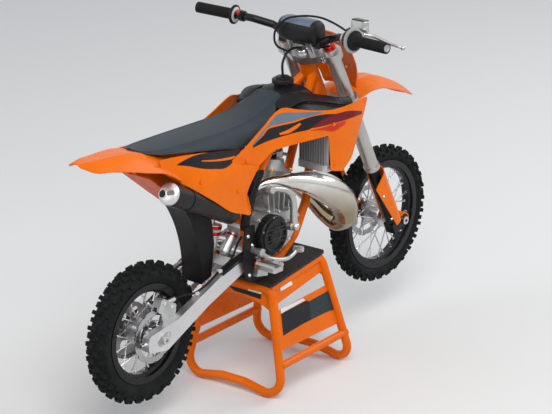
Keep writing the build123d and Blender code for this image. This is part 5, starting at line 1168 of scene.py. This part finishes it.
fork = dict(
    # places are (forward, sideways, along) from the steering axis
    cap=(25, 81.5, 690), capProfile=[(-2, 0), (-2, 17.5), (3, 17.5), (4.5, 16.6), (5, 13.4), (9, 13), (10, 12),
                                     (10.4, 6), (8, 5.4), (8, 0)],
    screw=[(5, 0), (5, 5), (11.6, 5), (12.4, 4), (12.4, 1.4), (11.4, 1.4), (11.4, 0)],
    seal=(25, 81.5, 235), sealProfile=[(-2, 16.6), (-2, 21), (-7, 20), (-8, 18), (-8, 16.6)],
    clampBolts=(-5.6, 72, (488, 500, 661, 673)), clampBolt=(4.4, 5),
    barBolts=((-3.5, 17.5), (27, 41), 726), barBolt=(3.8, 4.5),
    axleRing=106.6, ringProfile=[(0, 5.4), (0, 11.6), (1.6, 11), (1.6, 5.4)],
    guardBolts=(2, 112, (60, 150)), guardBolt=(3.6, 3),
    stem=(0, 0, 678), stemProfile=[(0, 0), (0, 17), (2.4, 17), (2.6, 15.4), (10, 15.4), (11.6, 14), (12, 8), (9, 7),
                                   (9, 0)],
)


def buildForkTrim():
    # on each side: a cap with its screw, a dust seal, clamp and bar bolts, a ring at the axle, the guard's bolts
    caps, seals, bolts, rings = [], [], [], []
    for side in (-1, 1):
        flip, out = np.array([1, side, 1]), left * side
        top = steered(*flip * fork["cap"])
        caps.append(turned(top, steerUp, fork["capProfile"], 48))
        bolts.append(turned(top, steerUp, fork["screw"], 24))
        seals.append(turned(steered(*flip * fork["seal"]), steerUp, fork["sealProfile"], 48, closed=True))
        forward, aside, heights = fork["clampBolts"]
        for z in heights:
            bolts.append(bolt(steered(forward, side * aside, z), -steerAhead, *fork["clampBolt"], socket=True))
        rows, columns, z = fork["barBolts"]
        for forward in rows:
            for aside in columns:
                bolts.append(bolt(steered(forward, side * aside, z), steerUp, *fork["barBolt"], socket=True))
        rings.append(turned(frontAxle + out * fork["axleRing"], out, fork["ringProfile"], 36, closed=True))
        forward, aside, heights = fork["guardBolts"]
        bolts += [bolt(steered(forward, side * aside, z), out, *fork["guardBolt"]) for z in heights]
    makePiece("forkCaps", caps, "steering", "redAnodised")
    makePiece("forkSeals", seals, "steering", "softRubber")
    bolts.append(turned(steered(*fork["stem"]), steerUp, fork["stemProfile"], 12))
    makePiece("frontBolts", bolts + rings, "steering", "brightSteel", (), 30)


handlebar = dict(
    end=(622.0, -342.0, 1001.0), knee=(650.0, -158.0, 994.0),  # the right end and the bend beside the clamp
    grips=np.arange(8, 112, 5.2), gripRib=((0, 15.9), (3, 15.9), (3.5, 14.6), (4.7, 14.6)),
    gripEnd=[(0.4, 8), (0.4, 13.5), (1.4, 15.6), (7, 16)],
    gripFlange=[(114, 16), (118, 17.5), (121, 22), (122.4, 27), (124, 28), (127.6, 28), (129, 26.8), (129, 11.4),
                (60, 11.4), (20, 11.4)],
    ring=[(128.4, 13), (128.4, 22), (130, 22), (131.2, 20), (131.2, 13)],
    plug=[(-4, 0), (-4, 10.6), (-0.4, 10.8), (1.2, 10), (1.6, 5), (0.8, 4.4), (0.8, 0)],
)
barEnd = np.array(handlebar["end"])
barInward = (handlebar["knee"] - barEnd) / np.linalg.norm(handlebar["knee"] - barEnd)
leftward = np.array([1, -1, 1])  # takes a place on the bar's right half to the left one


def buildGrips():
    # a rubber sleeve with rings of ribs between a plain end and a rolled flange, one at each end of the bar
    profile = handlebar["gripEnd"] + ridges(handlebar["grips"], handlebar["gripRib"]) + handlebar["gripFlange"]
    sleeve = turned(barEnd, barInward, profile, 48, closed=True)
    makePiece("gripSleeves", mirrored([sleeve]), "steering", "softRubber", ["grips"], 30)
    donut = turned(barEnd * leftward, barInward * leftward, handlebar["ring"], 48, closed=True)
    makePiece("gripRing", [donut], "steering", "whiteRubber")
    ends = [turned(barEnd, -barInward, handlebar["plug"], 30)]
    makePiece("barEnds", mirrored(ends), "steering", "machinedAluminium")


throttle = dict(
    ring=[(129.4, 11.4), (129.4, 33), (130.4, 35.4), (132, 36), (134, 35.4), (135, 33.5), (135, 11.4)],
    drum=[(135.2, 11.4), (135.2, 25), (136.4, 26), (152, 26), (155, 24), (156, 20), (156, 11.4)],
    elbow=((146, (6, 0, 12)), (148, (10, 2, 22)), (154, (10, 2, 26))),  # inward along the bar, and off it
    cable=(646, -184, 1017), elbowRadii=[7, 6.4, 5.6, 4.6], screws=(156, 17), screw=(3.2, 2.4),
)


def buildThrottle():
    # a pale ring beside the grip, then a drum with two screws and the cable's elbow
    ring = turned(barEnd, barInward, throttle["ring"], 64, closed=True)
    makePiece("throttleRing", [ring], "steering", "paleGreyPlastic")
    path = [barEnd + barInward * along + off for along, off in throttle["elbow"]] + [throttle["cable"]]
    parts = [turned(barEnd, barInward, throttle["drum"], 64, closed=True), carried(path, throttle["elbowRadii"], 20)]
    makePiece("throttleDrum", parts, "steering", "satinBlack", ["throttle_housing"])
    across = np.cross(barInward, up)
    along, aside = throttle["screws"]
    screws = [bolt(barEnd + barInward * along + across * s * aside, barInward, *throttle["screw"], socket=True)
              for s in (-1, 1)]
    makePiece("throttleScrews", screws, "steering", "brightSteel")


brakeControls = dict(
    clamp=157, clampProfile=[(0, 11.4), (0, 16.4), (1, 17), (11, 17), (12, 16.4), (12, 11.4)],
    neck=[(664, -178, 1003), (676, -179, 1010), (690, -182, 1017)], neckRadii=[8.5, 7.5, 8.5],
    barrel=[(692, -222, 1016), (692, -214, 1016), (692, -176, 1018), (692, -170, 1018)], barrelRadii=[7, 9.6, 9.6, 8],
    axes=((0.99, 0, -0.14), (0, 1, 0), (0.14, 0, 0.99)),  # the reservoir's length, its width and its tilted height
    reservoir=(696, -192, 1027), reservoirSize=(33, 45, 22), lid=(697.4, -192, 1039), lidSize=(31, 43, 3.4),
    screws=((697.6, -208, 1040.6), (697.6, -176, 1040.6)), screw=(2.8, 1.4), pivotBolt=(686, -203, 1010.2),
    lever=[(688, -203, 1003, 7), (696, -216, 1001, 6.6), (705, -238, 997.6, 6), (706, -262, 993, 5.4),
           (704, -290, 988, 4.8), (707, -312, 984, 4.4), (712, -326, 980.6, 4.4)],
    ball=(711, -322, 981.4), ballAxis=(5, -14, -3), ballRadius=6.6,
    pivot=(688, -203, 995.6), pivotProfile=[(0, 0), (0, 9), (1, 9.6), (13.4, 9.6), (14.4, 9), (14.4, 0)],
)


def buildBrakeControls():
    # a clamp, a barrel on a short neck, a tilted reservoir with its lid, and a tapered lever with a ball tip
    part = brakeControls
    parts = [turned(barEnd + barInward * part["clamp"], barInward, part["clampProfile"], 40, closed=True),
             carried(part["neck"], part["neckRadii"], 20), carried(part["barrel"], part["barrelRadii"], 24),
             block(part["reservoir"], part["reservoirSize"], 7, 1.5, part["axes"])]
    makePiece("brakeBarrel", parts, "steering", "forgedAluminium", ["master_cylinder"], 35)
    lid = [block(part["lid"], part["lidSize"], 6, 1.2, part["axes"])]
    makePiece("reservoirLid", lid, "steering", "satinBlack")
    screws = [bolt(place, part["axes"][2], *part["screw"], socket=True) for place in part["screws"]]
    screws.append(bolt(part["pivotBolt"], up, 5, 4))
    makePiece("reservoirScrews", screws, "steering", "brightSteel")
    ball, r = np.linspace(0, pi, 13), part["ballRadius"]
    tip = turned(part["ball"], part["ballAxis"], np.stack([r - r * np.cos(ball), r * np.sin(ball)], -1), 24)
    pivot = turned(part["pivot"], up, part["pivotProfile"], 30)
    makePiece("brakeLeverBlade", [taperedBar(part["lever"], 50, 20), tip, pivot], "steering", "machinedAluminium",
              ["brake_lever"])


stopSwitch = dict(
    clamp=146, clampProfile=[(0, 11.4), (0, 15), (1, 15.6), (13, 15.6), (14, 15), (14, 11.4)],
    middle=7, box=(-12, 0, 10), boxSize=(15, 17, 20),  # the clamp's middle, and the box's place off it
    button=(-19, 0, 15), buttonAxis=(-0.7, 0, 0.7), buttonProfile=[(-3, 0), (-3, 6.4), (4, 6.4), (5.4, 5), (5.6, 0)],
)


def buildLeftSwitch():
    # a clamp round the left of the bar with a red stop button on its box
    place, inward = (barEnd + barInward * stopSwitch["clamp"]) * leftward, barInward * leftward
    parts = [turned(place, inward, stopSwitch["clampProfile"], 40, closed=True)]
    middle = place + inward * stopSwitch["middle"]
    parts.append(block(middle + stopSwitch["box"], stopSwitch["boxSize"], 4, 1.5, (np.cross(inward, up), inward, up)))
    makePiece("stopSwitchBox", parts, "steering", "satinBlack")
    button = turned(middle + stopSwitch["button"], stopSwitch["buttonAxis"], stopSwitch["buttonProfile"], 30)
    makePiece("stopButton", [button], "steering", "redPlastic")


barPad = dict(
    clamp=(7, 0, 712), rise=32, half=(33, 64, 35), power=0.78,  # half sizes ahead, left and up; a low power is squarer
    taper=0.16, groove=0.02, grooveAt=0.8, grooveWidth=0.02, top=(4, 45, 8, 27, 0.4),  # top: rows, columns and rise
    straps=66, strapAhead=2, strapSize=(23.4, 5, 23.4),
)


def buildBarPad():
    # a drum round the bar's middle: a rounded square section carried across, drawn in towards its ends
    clamp = steered(*barPad["clamp"])
    middle = clamp + up * barPad["rise"]
    v = np.linspace(-1, 1, 49)[:, None]
    turn = np.linspace(0, 2 * pi, 64, endpoint=False)[None]
    groove = barPad["groove"] * np.exp(-((np.abs(v) - barPad["grooveAt"]) / barPad["grooveWidth"]) ** 2)
    grow = 1 - barPad["taper"] * np.abs(v) ** 9 - groove
    halfX, halfY, halfZ = barPad["half"]
    x, z = (half * np.sign(wave) * np.abs(wave) ** barPad["power"] * grow
            for half, wave in ((halfX, np.cos(turn)), (halfZ, np.sin(turn))))
    points = np.stack([middle[0] + x, middle[1] + halfY * v + 0 * turn, middle[2] + z], -1)
    piece = makePiece("barPadDrum", [capped(points)], "steering", "padCover", ["bar_pad"], 60)
    first, last, start, end, rise = barPad["top"]
    top = points[first:last, start:end] + (0, 0, rise)
    makePiece("barPadTop", [shell(top, -0.5)], "steering", "padTop", (), 60)
    straps = [block(clamp + (barPad["strapAhead"], s * barPad["straps"], 0), barPad["strapSize"], 11.4, 1.4)
              for s in (-1, 1)]
    makePiece("barPadStraps", straps, "steering", "satinBlack")


buildForkTrim()
buildGrips()
buildThrottle()
buildBrakeControls()
buildLeftSwitch()
buildBarPad()
print("front end built")

# Stand: films on its side sheets and rear band

stand = dict(
    turn=3.6, middle=(533.4, 0, 0),  # degrees to the left of the bike, and its middle
    sheetFoot=(0, 174.7, 0.55), sheetHead=(0, 109.7, 321.13), bandFoot=(-171.5, 0, 0.55), bandHead=(-137.7, 0, 308.5),
    filmRise=1.5, film=0.5, welds=(155.52, 157, 97), weldProfile=[(-4, 12), (-2, 13.4), (2, 13.4), (4, 12)],
)
sideFilms = {
    # finish, upper edge and lower edge, ahead and up along the sheet
    "standTopWhite": ("whiteGraphic", [(-101, 315), (-50, 317)], [(-103, 302), (-45, 304)]),
    "standMidWhite": ("whiteGraphic", [(-116, 254), (-10, 252)], [(-117, 241), (0, 244)]),
    "standMidDark": ("darkGraphic", [(-117, 240), (-1, 241), (12, 235), (19, 235)],
                     [(-123, 178), (-40, 182), (6, 182), (8, 182)]),
    "standMidTeal": ("tealGraphic", [(19, 235), (60, 236), (116, 237)], [(8, 182), (76, 181), (106, 179), (122, 176)]),
}
rearFilms = {
    # finish, upper edge and lower edge, left and up along the band
    "standRearBlack": ("darkGraphic", [(39, 292), (-30, 292), (-77, 291)], [(17, 281), (-30, 279), (-77, 277)]),
    "standRearWhite": ("whiteGraphic", [(-31, 297), (-77, 297)], [(-30, 292.6), (-77, 291.6)]),
}
standAhead = np.array([cos(radians(stand["turn"])), sin(radians(stand["turn"])), 0])
standLeft = np.array([-standAhead[1], standAhead[0], 0])


def onStand(forward, sideways, height):
    # a place on the turned stand: forward of its middle, left of it and above the floor
    return stand["middle"] + standAhead * forward + standLeft * sideways + up * height


def flatPlace(foot, head, along, out):
    # a flat sheet that leans from its foot to its head; films lie a little off the face on the side of out
    slope = (head - foot) / np.linalg.norm(head - foot)
    face = np.cross(along, slope)
    face = face * np.sign(face @ out) * stand["filmRise"]
    def placeOf(a, h):
        return foot + along * a[..., None] + slope * h[..., None] + face
    return placeOf


def buildStandTrim():
    # films between two edge curves on both side sheets and on the rear band, and weld beads round the posts
    for filmName, (finish, upper, lower) in sideFilms.items():
        parts = []
        for side in (-1, 1):
            foot, head = (onStand(*stand[end] * np.array([1, side, 1])) for end in ("sheetFoot", "sheetHead"))
            placeOf = flatPlace(foot, head, standAhead, standLeft * side)
            parts.append(bentPanel(upper, lower, placeOf, 24, 6, stand["film"] * side))
        makePiece(filmName, parts, "chassis", finish)
    placeOf = flatPlace(onStand(*stand["bandFoot"]), onStand(*stand["bandHead"]), standLeft, -standAhead)
    for filmName, (finish, upper, lower) in rearFilms.items():
        parts = [bentPanel(upper, lower, placeOf, 24, 6, stand["film"])]
        makePiece(filmName, parts, "chassis", finish)
    forward, aside, height = stand["welds"]
    welds = [turned(onStand(end * forward, side * aside, height), standAhead, stand["weldProfile"], 30, closed=True)
             for end in (-1, 1) for side in (-1, 1)]
    makePiece("standWelds", welds, "chassis", "orangePaint")


buildStandTrim()
print("stand finished")

# Stage, light and camera

floorLook = dict(half=40, height=-0.001, colour=(0.78, 0.78, 0.77), roughness=0.9)


def buildStage():
    # one square under everything
    half, height = floorLook["half"], floorLook["height"]
    corners = [(sx * half, sy * half, height) for sx, sy in ((-1, -1), (1, -1), (1, 1), (-1, 1))]
    mesh = bpy.data.meshes.new("floor")
    mesh.from_pydata(corners, [], [(0, 1, 2, 3)])
    floor = bpy.data.objects.new("floor", mesh)
    bpy.context.collection.objects.link(floor)
    material, tree, shader, place = newMaterial("paleFloor")
    shader.inputs["Base Color"].default_value = (*floorLook["colour"], 1)
    shader.inputs["Roughness"].default_value = floorLook["roughness"]
    floor.data.materials.append(material)


lamps = {
    # place, size, power, colour
    "key": ((-3.0, -3.4, 5.2), 3.4, 250, (1, 0.98, 0.95)),
    "fill": ((-4.5, 3.0, 3.2), 4.0, 80, (0.93, 0.96, 1)),
    "rim": ((4.2, -2.0, 3.6), 3.0, 110, (1, 1, 1)),
}
lampsAim = (0, 0, 0.55)
studio = dict(light=(0.82, 0.86, 0.92), strength=0.5, backdrop=(0.93, 0.93, 0.93))


def buildLight():
    # three area lamps aimed at the bike, and a world that lights softly but looks white to camera, metal and glass
    for lampName, (place, size, power, colour) in lamps.items():
        data = bpy.data.lights.new(lampName, "AREA")
        data.size, data.energy, data.color = size, power, colour
        lamp = bpy.data.objects.new(lampName, data)
        bpy.context.collection.objects.link(lamp)
        lamp.location = place
        lamp.rotation_euler = (Vector(lampsAim) - Vector(place)).to_track_quat("-Z", "Y").to_euler()
    world = bpy.data.worlds.new("studio")
    bpy.context.scene.world = world
    world.use_nodes = True
    tree = world.node_tree
    output = tree.nodes["World Output"]
    soft = tree.nodes["Background"]
    soft.inputs["Color"].default_value = (*studio["light"], 1)
    soft.inputs["Strength"].default_value = studio["strength"]
    white = tree.nodes.new("ShaderNodeBackground")
    white.inputs["Color"].default_value = (*studio["backdrop"], 1)
    path = tree.nodes.new("ShaderNodeLightPath")
    mix = tree.nodes.new("ShaderNodeMixShader")
    seen = path.outputs["Is Camera Ray"]
    for ray in ("Is Glossy Ray", "Is Transmission Ray"):
        either = tree.nodes.new("ShaderNodeMath")
        either.operation = "MAXIMUM"
        tree.links.new(seen, either.inputs[0])
        tree.links.new(path.outputs[ray], either.inputs[1])
        seen = either.outputs[0]
    tree.links.new(seen, mix.inputs["Fac"])
    tree.links.new(soft.outputs[0], mix.inputs[1])
    tree.links.new(white.outputs[0], mix.inputs[2])
    tree.links.new(mix.outputs[0], output.inputs["Surface"])


# place in millimetres from the rear axle, heading and downward tilt in degrees, lens in millimetres
camera = dict(place=(-4359.3, -4119.7, 2765.6), heading=39.92, down=19.56, lens=156.4, sensor=36, reach=200)


def buildCamera():
    # level, looking ahead and to the left from behind the bike's right
    data = bpy.data.cameras.new("camera")
    data.lens, data.sensor_width, data.clip_end = camera["lens"], camera["sensor"], camera["reach"]
    view = bpy.data.objects.new("camera", data)
    bpy.context.collection.objects.link(view)
    view.location = placed([camera["place"]])[0]
    view.rotation_euler = (radians(90 - camera["down"]), 0, radians(camera["heading"] - 90))
    bpy.context.scene.camera = view


buildStage()
buildLight()
buildCamera()
bpy.context.scene.view_settings.view_transform = "Standard"
print("stage, light and camera set")
